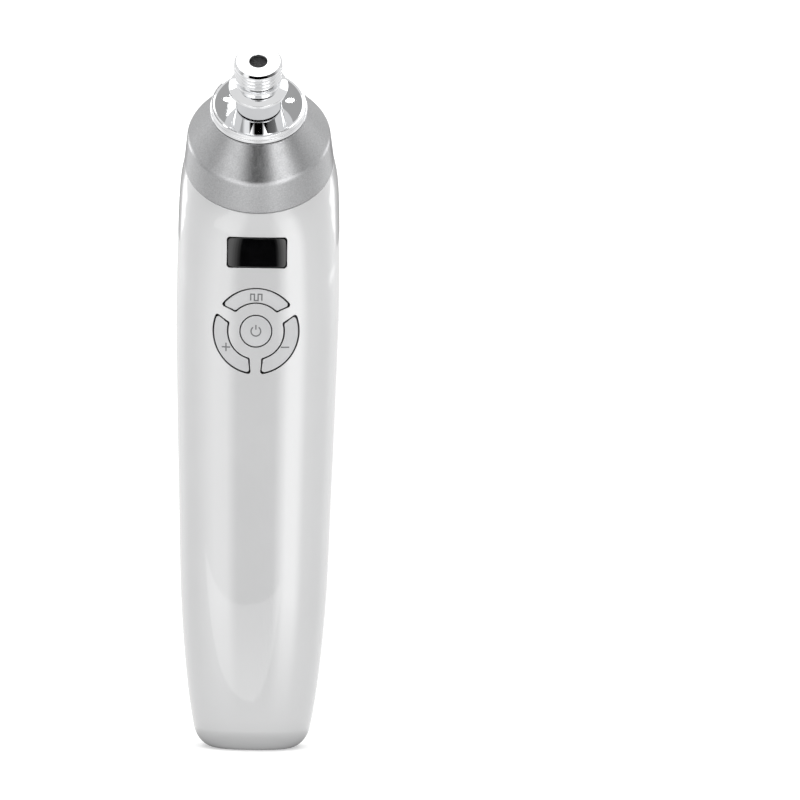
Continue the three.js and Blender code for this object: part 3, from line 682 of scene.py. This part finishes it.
# ---------------------------------------------------------------- turned head pieces
def filleted(corners):
    """A closed profile of (radius, height, fillet) corners, with its outward normals."""
    spots = np.array([corner[:2] for corner in corners], float)
    points, normals = [], []
    area = np.cross(spots, np.roll(spots, -1, axis=0)).sum()
    sense = 1 if area > 0 else -1
    for k, (_, _, fillet) in enumerate(corners):
        here = spots[k]
        before = unit(here - spots[k - 1])
        after = unit(spots[(k + 1) % len(spots)] - here)
        turn = math.atan2(before[0] * after[1] - before[1] * after[0], before @ after)
        reach = fillet * math.tan(abs(turn) / 2)
        out = sense * np.array([before[1], -before[0]])
        side = math.copysign(1, turn) * sense
        start = here - before * reach
        hub = start - out * fillet * side
        count = max(2, round(abs(turn) / math.radians(11)) + 1)
        for part in np.linspace(0, turn, count):
            spun = np.array([
                out[0] * math.cos(part) - out[1] * math.sin(part),
                out[0] * math.sin(part) + out[1] * math.cos(part),
            ])
            points.append(hub + spun * fillet * side)
            normals.append(spun)
    return np.array(points), np.array(normals)


def to_head(local):
    """From the head's own axis to the device."""
    sine, cosine = math.sin(HEAD_TILT), math.cos(HEAD_TILT)
    turn = np.array([[1, 0, 0], [0, cosine, -sine], [0, sine, cosine]])
    return local @ turn.T


def spin(profile, angle):
    """Profile points (radius, height) at every angle: rows of points about the head's axis."""
    radius, height = profile[:, 0, None], profile[:, 1, None]
    shape = np.broadcast_to(height, (len(profile), len(angle)))
    return np.stack([radius * np.cos(angle), radius * np.sin(angle), shape], axis=-1)


def turned_skin(profile, normals, segments, groove=None):
    """A closed profile turned about the head's axis. A groove cuts a depth by height and angle."""
    angle = np.linspace(0, 2 * math.pi, segments, endpoint=False)
    points, directions = spin(profile, angle), spin(normals, angle)
    if groove is not None:
        cut, touched = groove(profile, angle)
        radial = np.stack([np.cos(angle), np.sin(angle), np.zeros_like(angle)], axis=-1)
        points = points - cut[..., None] * radial
        directions = np.where(touched[:, None, None], 0, directions)
    skin = Skin()
    rows = skin.add(to_head(points) + HEAD_Z * Z_AXIS, to_head(directions))
    skin.quads(np.vstack([rows, rows[:1]]))
    return skin


def make_cover(finish):
    profile, normals = filleted([
        (20.1, 0.3, 0.15),
        (19.21, 10.17, 3.6),
        (13.08, 19.3, 0.4),
        (9.0, 19.3, 0.1),
        (9.0, 17.7, 0.1),
        (12.0, 17.7, 0.2),
        (17.3, 9.8, 4.0),
        (18.5, 0.3, 0.1),
    ])
    return turned_skin(profile, normals, 192).make(
        "head_cover_skin", finish, "housing", "satin_silver", "head_cover"
    )


def make_plate(finish):
    dish = [
        (r, 21.2 + (r * r - 6.3**2) / (2 * PLATE_DISH_R), PLATE_DISH_R / 50)
        for r in np.linspace(11.9, 6.1, 14)
    ]
    profile, normals = filleted([
        (5.3, 19.6, 0.05),
        (13.05, 19.6, 0.1),
        (13.05, 20.55, 0.12),
        (12.74, 20.72, 0.1),
        (12.68, 21.9, 0.14),
        (12.25, 21.92, 0.1),
        *dish,
        (5.3, 21.1, 0.05),
    ])
    return turned_skin(profile, normals, 192).make(
        "chrome_plate_skin", finish, "housing", "polished_chrome", "chrome_plate"
    )


def thread_groove(profile, angle):
    """The cut of a right-hand helical groove, faded out at both ends of the thread."""
    radius, height = profile[:, 0], profile[:, 1]
    low, high = THREAD["bottom"], THREAD["top"]
    touched = (height > low) & (height < high) & (radius > THREAD["crest"] - 0.1)
    phase = (height[:, None] / THREAD["pitch"] - angle / (2 * math.pi)) % 1
    shape = np.clip(np.minimum(phase - 0.18, 0.92 - phase) / 0.32, 0, 1)
    fade = smooth(low, low + THREAD["fade"], height)
    fade = fade * (1 - smooth(high - THREAD["fade"], high, height))
    return THREAD["depth"] * shape * (fade * touched)[:, None], touched


def make_nozzle(finish):
    crest = THREAD["crest"]
    profile, normals = filleted([
        (5.0, 13.6, 0.2),
        (5.0, 21.5, 0.05),
        (6.1, 21.5, 0.3),
        (6.38, 26.7, 0.6),
        (7.2, 27.3, 0.3),
        (8.0, 27.7, 0.14),
        (8.0, 28.55, 0.16),
        (7.55, 28.75, 0.1),
        (5.8, 29.45, 0.15),
        (5.8, 30.85, 0.08),
        (6.3, 30.9, 0.1),
        (6.3, 31.6, 0.1),
        (5.7, 31.68, 0.08),
        (5.7, 32.8, 0.12),
        (crest, 33.0, 0.1),
        (crest, 37.3, 0.1),
        (5.9, 37.9, 0.12),
        (2.4, 37.9, 0.22),
        (2.4, 13.6, 0.1),
    ])
    on_crest = profile[:, 0] > crest - 0.01
    joint = np.nonzero(on_crest[:-1] & on_crest[1:] & (np.diff(profile[:, 1]) > 2))[0][0]
    share = np.linspace(0, 1, 90)[1:-1, None]
    stretch = profile[joint] + share * (profile[joint + 1] - profile[joint])
    profile = np.insert(profile, joint + 1, stretch, axis=0)
    normals = np.insert(normals, joint + 1, np.tile(normals[joint], (len(stretch), 1)), axis=0)
    return turned_skin(profile, normals, 168, thread_groove).make(
        "nozzle_skin", finish, "housing", "polished_chrome", "nozzle"
    )


def make_foam(finish):
    """The open-cell filter plug in the nozzle's mouth, with a porous top."""
    skin = Skin()
    rings = np.linspace(0.08, 1, 26)
    angle = np.linspace(0, 2 * math.pi, 84, endpoint=False)
    rows = []
    for share in rings:
        ring = spin(np.array([[FOAM["r"] * share, FOAM["top"]]]), angle)[0]
        for point in ring:
            cell = noise.noise(Vector(point) / FOAM["pore"])
            fine = noise.noise(Vector(point) / FOAM["pore"] * 2.3)
            drop = FOAM_EDGE["slope"] * max(0, share - FOAM_EDGE["from"])
            point[2] -= FOAM["depth"] * (0.5 + 0.6 * cell + 0.4 * fine) + drop
        rows.append(skin.add(to_head(ring) + HEAD_Z * Z_AXIS))
    low_ring = spin(np.array([[FOAM["r"], FOAM["bottom"]]]), angle)[0]
    rows.append(skin.add(to_head(low_ring) + HEAD_Z * Z_AXIS))
    skin.quads(rows)
    for row in (rows[0], rows[-1]):
        skin.fan(row, skin.add(skin.points[row].mean(0)[None])[0])
    return skin.make("mouth_filter", finish, "housing", "filter_foam", "filter_screen")


# ---------------------------------------------------------------- materials
class Nodes:
    """A new material, with short ways to add nodes and links to it."""

    def __init__(self, name):
        self.material = bpy.data.materials.new(name)
        self.material.use_nodes = True
        self.tree = self.material.node_tree

    def node(self, kind, **settings):
        made = self.tree.nodes.new(kind)
        for key, value in settings.items():
            if hasattr(made, key):
                setattr(made, key, value)
            else:
                made.inputs[key.replace("_", " ")].default_value = value
        return made

    def link(self, output, node, socket):
        self.tree.links.new(output, node.inputs[socket])

    def ranged(self, value, low, high, start=0.3, stop=0.7):
        made = self.node("ShaderNodeMapRange", From_Min=start, From_Max=stop, To_Min=low, To_Max=high)
        self.link(value, made, "Value")
        return made.outputs["Result"]


class Finish(Nodes):
    """A procedural material: object coordinates through noises to one Principled shader."""

    def __init__(self, name):
        super().__init__(name)
        self.shader = self.tree.nodes["Principled BSDF"]
        self.coordinates = self.tree.nodes.new("ShaderNodeTexCoord").outputs["Object"]

    def set(self, **values):
        for key, value in values.items():
            self.shader.inputs[key.replace("_", " ")].default_value = value

    def noise(self, size, detail=4.0, stretch=(1, 1, 1)):
        """Noise with features of about this size in millimetres."""
        mapping = self.node("ShaderNodeMapping", Scale=tuple(s / (size * MM) for s in stretch))
        self.link(self.coordinates, mapping, "Vector")
        made = self.node("ShaderNodeTexNoise", Scale=1.0, Detail=detail, Roughness=0.6)
        self.link(mapping.outputs["Vector"], made, "Vector")
        return made.outputs["Fac"]

    def colours(self, value, dark, light, start=0.3, stop=0.7):
        ramp = self.node("ShaderNodeValToRGB")
        self.link(value, ramp, "Fac")
        for stop_point, place, colour in zip(ramp.color_ramp.elements, (start, stop), (dark, light)):
            stop_point.position = place
            stop_point.color = (*colour, 1)
        self.link(ramp.outputs["Color"], self.shader, "Base Color")

    def roughness(self, value, low, high):
        self.link(self.ranged(value, low, high), self.shader, "Roughness")

    def bump(self, *layers):
        """Layers of (height, depth in mm), the later ones on top."""
        normal = None
        for value, depth in layers:
            made = self.node("ShaderNodeBump", Strength=1.0, Distance=depth * MM)
            self.link(value, made, "Height")
            if normal is not None:
                self.link(normal, made, "Normal")
            normal = made.outputs["Normal"]
        self.link(normal, self.shader, "Normal")


def shade(colour, factor):
    return tuple(min(1.0, channel * factor) for channel in colour)


def gloss_white():
    finish = Finish("white_gloss_lacquer")
    white = (0.725, 0.728, 0.732)
    finish.set(Coat_Weight=1.0, Coat_Roughness=0.03, Coat_IOR=1.8, IOR=1.52)
    finish.colours(finish.noise(24, 3), shade(white, 0.985), shade(white, 1.01))
    finish.roughness(finish.noise(6), 0.30, 0.38)
    finish.bump((finish.noise(1.6, 2), 0.0006), (finish.noise(14, 1), 0.002))
    return finish.material


def key_white():
    finish = Finish("key_satin_white")
    white = (0.66, 0.665, 0.672)
    finish.set(Coat_Weight=0.25, Coat_Roughness=0.3, IOR=1.46)
    finish.colours(finish.noise(5, 3), shade(white, 0.97), shade(white, 1.015))
    finish.roughness(finish.noise(0.5), 0.4, 0.52)
    finish.bump((finish.noise(0.22, 3), 0.006))
    return finish.material


def satin_silver():
    finish = Finish("satin_blasted_silver")
    silver = (0.46, 0.463, 0.47)
    grain = finish.noise(0.38, 3)
    finish.set(Metallic=1.0)
    finish.colours(grain, shade(silver, 0.84), shade(silver, 1.14))
    finish.roughness(finish.noise(1.1, 4), 0.3, 0.37)
    finish.bump((grain, 0.02))
    return finish.material


def polished_chrome():
    finish = Finish("polished_chrome")
    chrome = (0.85, 0.855, 0.865)
    finish.set(Metallic=1.0)
    finish.colours(finish.noise(7, 3), shade(chrome, 0.965), shade(chrome, 1.01))
    finish.roughness(finish.noise(2.2, 5), 0.018, 0.03)
    finish.bump((finish.noise(4.0, 1), 0.0002))
    return finish.material


def black_acrylic():
    finish = Finish("black_acrylic")
    finish.set(Coat_Weight=0.6, Coat_Roughness=0.02, IOR=1.49)
    finish.colours(finish.noise(3, 3), (0.0022, 0.0022, 0.0025), (0.0045, 0.0045, 0.005))
    finish.roughness(finish.noise(9, 4), 0.02, 0.05)
    finish.bump((finish.noise(6, 1), 0.0006))
    return finish.material


def symbol_grey():
    finish = Finish("printed_grey")
    finish.set(IOR=1.45)
    finish.colours(finish.noise(0.4, 3), (0.15, 0.152, 0.158), (0.2, 0.202, 0.208))
    finish.roughness(finish.noise(0.5), 0.45, 0.6)
    finish.bump((finish.noise(0.15, 2), 0.004))
    return finish.material


def open_foam():
    finish = Finish("open_cell_foam")
    cells = finish.noise(0.3, 4)
    finish.set(Sheen_Weight=0.1)
    finish.colours(cells, (0.006, 0.006, 0.0065), (0.07, 0.07, 0.072), 0.42, 0.66)
    finish.roughness(cells, 0.75, 0.95)
    finish.bump((cells, 0.05), (finish.noise(0.12, 2), 0.02))
    return finish.material


def moulding(name, colour, low=0.4, high=0.55, grain=0.3):
    """An inner plastic or rubber part: mottled colour, uneven sheen and moulded grain."""
    finish = Finish(name)
    finish.colours(finish.noise(4, 3), shade(colour, 0.9), shade(colour, 1.08))
    finish.roughness(finish.noise(1.2), low, high)
    finish.bump((finish.noise(grain, 3), 0.006))
    return finish.material


def metal(name, colour, low=0.22, high=0.36, stretch=(1, 1, 1)):
    """An inner metal part: plated or turned, with faint tool marks along one way."""
    finish = Finish(name)
    finish.set(Metallic=1.0)
    finish.colours(finish.noise(2.5, 3), shade(colour, 0.92), shade(colour, 1.06))
    finish.roughness(finish.noise(0.5, 4, stretch), low, high)
    finish.bump((finish.noise(0.35, 3, stretch), 0.003))
    return finish.material


INNER = {
    "rubber": ["display_gasket", "nozzle_seal", "diaphragm"],
    "dark": [
        "display_module", "head_collar", "controller_chip", "charge_chip", "pump_housing", "pump_head",
        *[f"{key}_switch" for key in KEYS],
    ],
    "pale": [
        "suction_chamber", "pump_connector", "battery_connector", "motor_end_cap", "piston_rod",
        "valve_plate", "motor_clamp", "battery_cradle", *[f"{key}_plunger" for key in KEYS],
    ],
    "board": ["main_board", "charging_board"],
    "steel": [
        "nozzle_nut", "charging_socket", "motor_shaft", "clamp_screw_1", "clamp_screw_2",
        *[f"board_screw_{number}" for number in range(1, 5)],
    ],
    "can": ["pump_motor"],
    "brass": ["crank"],
    "foam": ["filter_sponge", "exhaust_silencer"],
    "wrap": ["battery_cell"],
    "silicone": ["suction_hose"],
    "red": ["battery_lead_red", "motor_lead_red"],
    "black": ["battery_lead_black", "motor_lead_black"],
    "blue": ["charging_lead"],
}


def inner_finishes(foam):
    return {
        "rubber": moulding("matt_black_rubber", (0.04, 0.04, 0.042), 0.7, 0.85, 0.25),
        "dark": moulding("dark_moulding", (0.05, 0.052, 0.056)),
        "pale": moulding("pale_moulding", (0.72, 0.73, 0.73)),
        "board": moulding("solder_mask", (0.03, 0.2, 0.09), 0.3, 0.42, 0.8),
        "steel": metal("plated_steel", (0.55, 0.56, 0.57)),
        "can": metal("motor_can_plating", (0.5, 0.51, 0.53), 0.28, 0.42, (1, 1, 0.15)),
        "brass": metal("turned_brass", (0.65, 0.5, 0.22)),
        "foam": foam,
        "wrap": moulding("blue_shrink_sleeve", (0.05, 0.17, 0.45), 0.25, 0.4, 1.2),
        "silicone": moulding("white_silicone", (0.75, 0.77, 0.76), 0.3, 0.42, 0.6),
        "red": moulding("red_insulation", (0.5, 0.02, 0.02), 0.4, 0.5),
        "black": moulding("black_insulation", (0.02, 0.02, 0.02), 0.4, 0.5),
        "blue": moulding("blue_insulation", (0.03, 0.1, 0.4), 0.4, 0.5),
    }


def finish_inner_parts(foam):
    finishes = inner_finishes(foam)
    for kind, names in INNER.items():
        for name in names:
            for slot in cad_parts[name].material_slots:
                slot.material = finishes[kind]


# ---------------------------------------------------------------- studio
def square(half):
    return [(-half, -half), (half, -half), (half, half), (-half, half)]


TENT_LIGHT = 0.84  # the even light from all round
SKY_LIGHT = 1.0
FRONT_LIGHT = 0.4
HEAD_SPOT = Vector((0, 0, 0.15))
GROUND = square(30.0)

# Sheets under the device that only diffuse light sees: the ground, and a darker square at the foot.
BOUNCE_LIGHT = 0.68
BOUNCE_HEIGHT = -0.003
FOOT_SHADE_LEVEL = 0.56
FOOT_SHADE_HEIGHT = -0.0005
FOOT_SHADE = square(0.1)

# Curved walls round the device, one above the other. Each has its bottom, its tops at the front,
# sides and back, and how bright it is at each bearing, in degrees from the front. The lower one
# has an apron that runs in over the ground, almost to the device.
WALL_RADIUS = 0.9
APRON_RADIUS = 0.012
APRON_HEIGHT = -0.0015
WALL_FRONT = 33
WALL_BACK = 114
LEDGE = 0.06
WALLS = {
    "low_wall": (0.0, (LEDGE, LEDGE, LEDGE), [
        (-180, 1.0), (-125, 1.0), (-108, 0.7), (-84, 0.6), (-68, 0.9), (-44, 1.6), (-27, 1.6),
        (-15, 0.0), (15, 0.0), (30, 2.7), (46, 2.7), (60, 0.9), (84, 0.7), (108, 0.7), (125, 1.0),
        (180, 1.0),
    ]),
    "high_wall": (LEDGE, (0.3, 0.5, 0.26), [
        (-180, 0.3), (-150, 0.3), (-139, 2.6), (-120, 2.6), (-110, 0.9), (-84, 0.9), (-60, 0.4),
        (-50, 1.1), (-36, 1.1), (-31, 0.0), (31, 0.0), (36, 0.1), (60, 0.2), (84, 0.9), (108, 0.9),
        (118, 2.4), (137, 2.4), (147, 0.3), (180, 0.3),
    ]),
}
# Going out along the apron, its level rises from the foot's to an even one near the device, and
# then turns into the levels above. The dark level at the foot is a painted shadow under the device,
# seen in reflections. The ends of both changes are shares of its length.
FOOT_SHADOW_LEVEL = 0.05
NEAR_LEVEL = 1.0
FOOT_END = 0.035
NEAR_END = 0.3

# Lamps: bearing from the front, elevation, distance, size, brightness, round or not.
LAMPS = {
    "ceiling_box": (180, 85.0, 1.2, 0.20, 2.2, False),
    "left_spot": (117.4, 84.2, 1.22, 0.034, 7.0, True),
    "right_spot": (-110.5, 81.6, 1.22, 0.034, 7.0, True),
    "left_box": (-114, 57.0, 1.1, 0.42, 1.4, False),
    "right_box": (114, 57.0, 1.1, 0.42, 1.4, False),
}

# Cards that only show in reflections: outline, height, level of light, see-through or not.
CARDS = {
    "ground_card": (square(3), -0.0025, 1.0, False),
    "tongue_card": ([(0.0, -0.07), (-0.4, -0.22), (0.15, -0.3)], -0.001, 0.6, True),
    # A near-black square under the foot: a painted shadow of the device, seen in reflections.
    "foot_shadow_card": (square(0.012), -0.001, 0.05, False),
    "ceiling_card": ([(-0.4, -0.4), (0.4, -0.4), (0.4, 0.45), (-0.4, 0.45)], 1.45, 0.4, False),
}


def plain_stage(name, mesh, material):
    piece = bpy.data.objects.new(name, mesh)
    bpy.context.scene.collection.objects.link(piece)
    mesh.materials.append(material)
    return piece


def flat_sheet(name, outline, height=0.0):
    mesh = bpy.data.meshes.new(name)
    mesh.from_pydata([(x, y, height) for x, y in outline], [], [tuple(range(len(outline)))])
    return mesh


def light_wall(name, bottom, tops, levels):
    """A wall's mesh. Its map runs from 0 to 1 along the bearings, and from 0 to 1 out the apron."""
    bearings = np.arange(levels[0][0], levels[-1][0] + 1, 3)
    angle = np.radians(bearings)
    away = np.abs(bearings)
    top = np.select([away < WALL_FRONT, away < WALL_BACK], tops[:2], tops[2])
    rows = [(WALL_RADIUS, np.full(len(angle), bottom)), (WALL_RADIUS, top)]
    has_apron = bottom == 0
    if has_apron:
        ground = np.full(len(angle), APRON_HEIGHT)
        rows = [(APRON_RADIUS, ground), (WALL_RADIUS, ground), (WALL_RADIUS, top)]
    points = [
        (radius * math.sin(turn), -radius * math.cos(turn), height[k])
        for k, turn in enumerate(angle) for radius, height in rows
    ]
    high = len(rows)
    faces = [
        (high * k + low, high * (k + 1) + low, high * (k + 1) + low + 1, high * k + low + 1)
        for k in range(len(angle) - 1) for low in range(high - 1)
    ]
    mesh = bpy.data.meshes.new(name)
    mesh.from_pydata(points, [], faces)
    layer = mesh.uv_layers.new(name="bearing")
    for corner, loop in zip(layer.data, mesh.loops):
        column, row = divmod(loop.vertex_index, high)
        at_foot = has_apron and row == 0
        corner.uv = (column / (len(angle) - 1), 0.0 if at_foot else 1.0)
    return mesh


def wall_glow(name, levels):
    """Light that follows the wall's levels, and turns into the painted shadow at the foot along an
    apron.
    """
    made = Nodes(name)
    made.tree.nodes.clear()
    split = made.node("ShaderNodeSeparateXYZ")
    made.link(made.node("ShaderNodeUVMap").outputs["UV"], split, "Vector")
    ramp = made.node("ShaderNodeValToRGB")
    made.link(split.outputs["X"], ramp, "Fac")
    brightest = max(level for _, level in levels)
    first, last = levels[0][0], levels[-1][0]
    stops = ramp.color_ramp.elements
    stops.remove(stops[1])
    for number, (bearing, level) in enumerate(levels):
        place = (bearing - first) / (last - first)
        stop = stops[0] if number == 0 else stops.new(place)
        stop.position = place
        stop.color = (level / brightest, level / brightest, level / brightest, 1)
    full = made.node("ShaderNodeVectorMath", operation="SCALE", Scale=brightest)
    made.link(ramp.outputs["Color"], full, 0)

    blend = made.node("ShaderNodeMix", data_type="VECTOR")
    made.link(made.ranged(split.outputs["Y"], 0, 1, FOOT_END, NEAR_END), blend, "Factor")
    # painted shadow: near the foot the apron's light drops almost to nothing
    made.link(made.ranged(split.outputs["Y"], FOOT_SHADOW_LEVEL, NEAR_LEVEL, 0, FOOT_END), blend, "A")
    made.link(full.outputs["Vector"], blend, "B")
    light = made.node("ShaderNodeEmission")
    made.link(blend.outputs["Result"], light, "Color")
    made.link(light.outputs["Emission"], made.node("ShaderNodeOutputMaterial"), "Surface")
    return made.material


def glow(name, level, clear=False):
    """Even light. When clear, it adds to what lies behind."""
    made = Nodes(name)
    made.tree.nodes.clear()
    surface = made.node("ShaderNodeEmission", Strength=level).outputs["Emission"]
    if clear:
        both = made.node("ShaderNodeAddShader")
        made.link(surface, both, 0)
        made.link(made.node("ShaderNodeBsdfTransparent").outputs["BSDF"], both, 1)
        surface = both.outputs["Shader"]
    made.link(surface, made.node("ShaderNodeOutputMaterial"), "Surface")
    return made.material


def matt(name, value, extra):
    """A matt surface, with a little light of its own."""
    made = Nodes(name)
    shader = made.tree.nodes["Principled BSDF"]
    shader.inputs["Base Color"].default_value = (value, value, value, 1)
    shader.inputs["Roughness"].default_value = 0.9
    shader.inputs["Specular IOR Level"].default_value = 0.1
    shader.inputs["Emission Color"].default_value = (1, 1, 1, 1)
    shader.inputs["Emission Strength"].default_value = extra
    return made.material


def add_lamp(name, bearing, elevation, distance, size, brightness, disc):
    """A flat lamp of an even brightness that faces the head."""
    data = bpy.data.lights.new(name, "AREA")
    data.shape = "DISK" if disc else "SQUARE"
    data.size = size
    area = size * size * (math.pi / 4 if disc else 1)
    data.energy = brightness * math.pi * area
    turn, rise = math.radians(bearing), math.radians(elevation)
    away = Vector((math.sin(turn) * math.cos(rise), -math.cos(turn) * math.cos(rise), math.sin(rise)))
    add_light(data, HEAD_SPOT + away * distance, HEAD_SPOT)


def add_light(data, place, target):
    light = bpy.data.objects.new(data.name, data)
    bpy.context.scene.collection.objects.link(light)
    light.location = place
    light.rotation_euler = (target - place).to_track_quat("-Z", "Y").to_euler()
    light.visible_camera = False
    return light


def add_sky(name, energy, place):
    """Very soft light from far away, which doesn't show in reflections."""
    data = bpy.data.lights.new(name, "SUN")
    data.energy = energy
    data.angle = math.radians(80)
    add_light(data, place, Vector((0, 0, 0))).visible_glossy = False


def make_studio():
    floor = plain_stage("floor", flat_sheet("floor", GROUND), matt("pale_floor", 0.93, 0.2))
    floor.visible_diffuse = floor.visible_glossy = False
    reflected = []
    for name, (bottom, tops, levels) in WALLS.items():
        mesh = light_wall(name, bottom, tops, levels)
        reflected.append(plain_stage(name, mesh, wall_glow(name, levels)))
    for name, (outline, height, level, clear) in CARDS.items():
        mesh = flat_sheet(name, outline, height)
        reflected.append(plain_stage(name, mesh, glow(name, level, clear)))
    diffuse = []
    for name, outline, height, level in (
        ("bounce", GROUND, BOUNCE_HEIGHT, BOUNCE_LIGHT),
        ("foot_shade", FOOT_SHADE, FOOT_SHADE_HEIGHT, FOOT_SHADE_LEVEL),
    ):
        diffuse.append(plain_stage(name, flat_sheet(name, outline, height), glow(name, level)))
    for piece in reflected:
        piece.visible_diffuse = False
    for piece in diffuse:
        piece.visible_glossy = False
    for piece in [*reflected, *diffuse]:
        piece.visible_camera = False
        piece.visible_shadow = False
    for name, lamp in LAMPS.items():
        add_lamp(name, *lamp)

    add_sky("sky", SKY_LIGHT, Vector((0, -0.3, 2)))
    add_sky("front_sky", FRONT_LIGHT, Vector((0.15, -2, 0.9)))

    world = bpy.data.worlds.new("studio")
    bpy.context.scene.world = world
    world.use_nodes = True
    background = world.node_tree.nodes["Background"]
    background.inputs["Color"].default_value = (1, 1, 1, 1)
    background.inputs["Strength"].default_value = TENT_LIGHT


# The view: a long lens, level with the device's front, a little above it.
VIEW = {"bearing": 1.4, "height": 5.6, "roll": 0.8, "lens": 1000.0, "distance": 5.98}
LOOK_AT = Vector((0.0388, 0.0, 0.095))  # the device stands left of the middle


def make_camera():
    data = bpy.data.cameras.new("camera")
    data.lens = VIEW["lens"]
    data.clip_end = 60
    camera = bpy.data.objects.new("camera", data)
    bpy.context.scene.collection.objects.link(camera)
    bearing, height = math.radians(VIEW["bearing"]), math.radians(VIEW["height"])
    away = Vector((
        math.sin(bearing) * math.cos(height),
        -math.cos(bearing) * math.cos(height),
        math.sin(height),
    ))
    camera.location = Vector((0, 0, LOOK_AT.z)) + away * VIEW["distance"]
    look = (LOOK_AT - camera.location).to_track_quat("-Z", "Y").to_matrix().to_4x4()
    roll = Matrix.Rotation(math.radians(VIEW["roll"]), 4, "Z")
    camera.matrix_world = Matrix.Translation(camera.location) @ look @ roll
    bpy.context.scene.camera = camera
    bpy.context.scene.view_settings.view_transform = "Standard"


# ---------------------------------------------------------------- the whole
def make_object():
    white, silver, chrome = gloss_white(), satin_silver(), polished_chrome()
    cap, grey, foam = key_white(), symbol_grey(), open_foam()
    holes = [(window_outline, 0.05, WINDOW_LIP)]
    holes += [(outline_of(key), KEY_GAP, HOLE_LIP) for key in KEYS]
    make_shell("front_shell", True, white, holes)
    make_shell("back_shell", False, white, [])
    for key in KEYS:
        make_key(key, cap)
        make_symbol(key, grey)
    make_window(black_acrylic())
    make_cover(silver)
    make_plate(chrome)
    make_nozzle(chrome)
    make_foam(foam)
    finish_inner_parts(foam)


make_object()
make_studio()
make_camera()
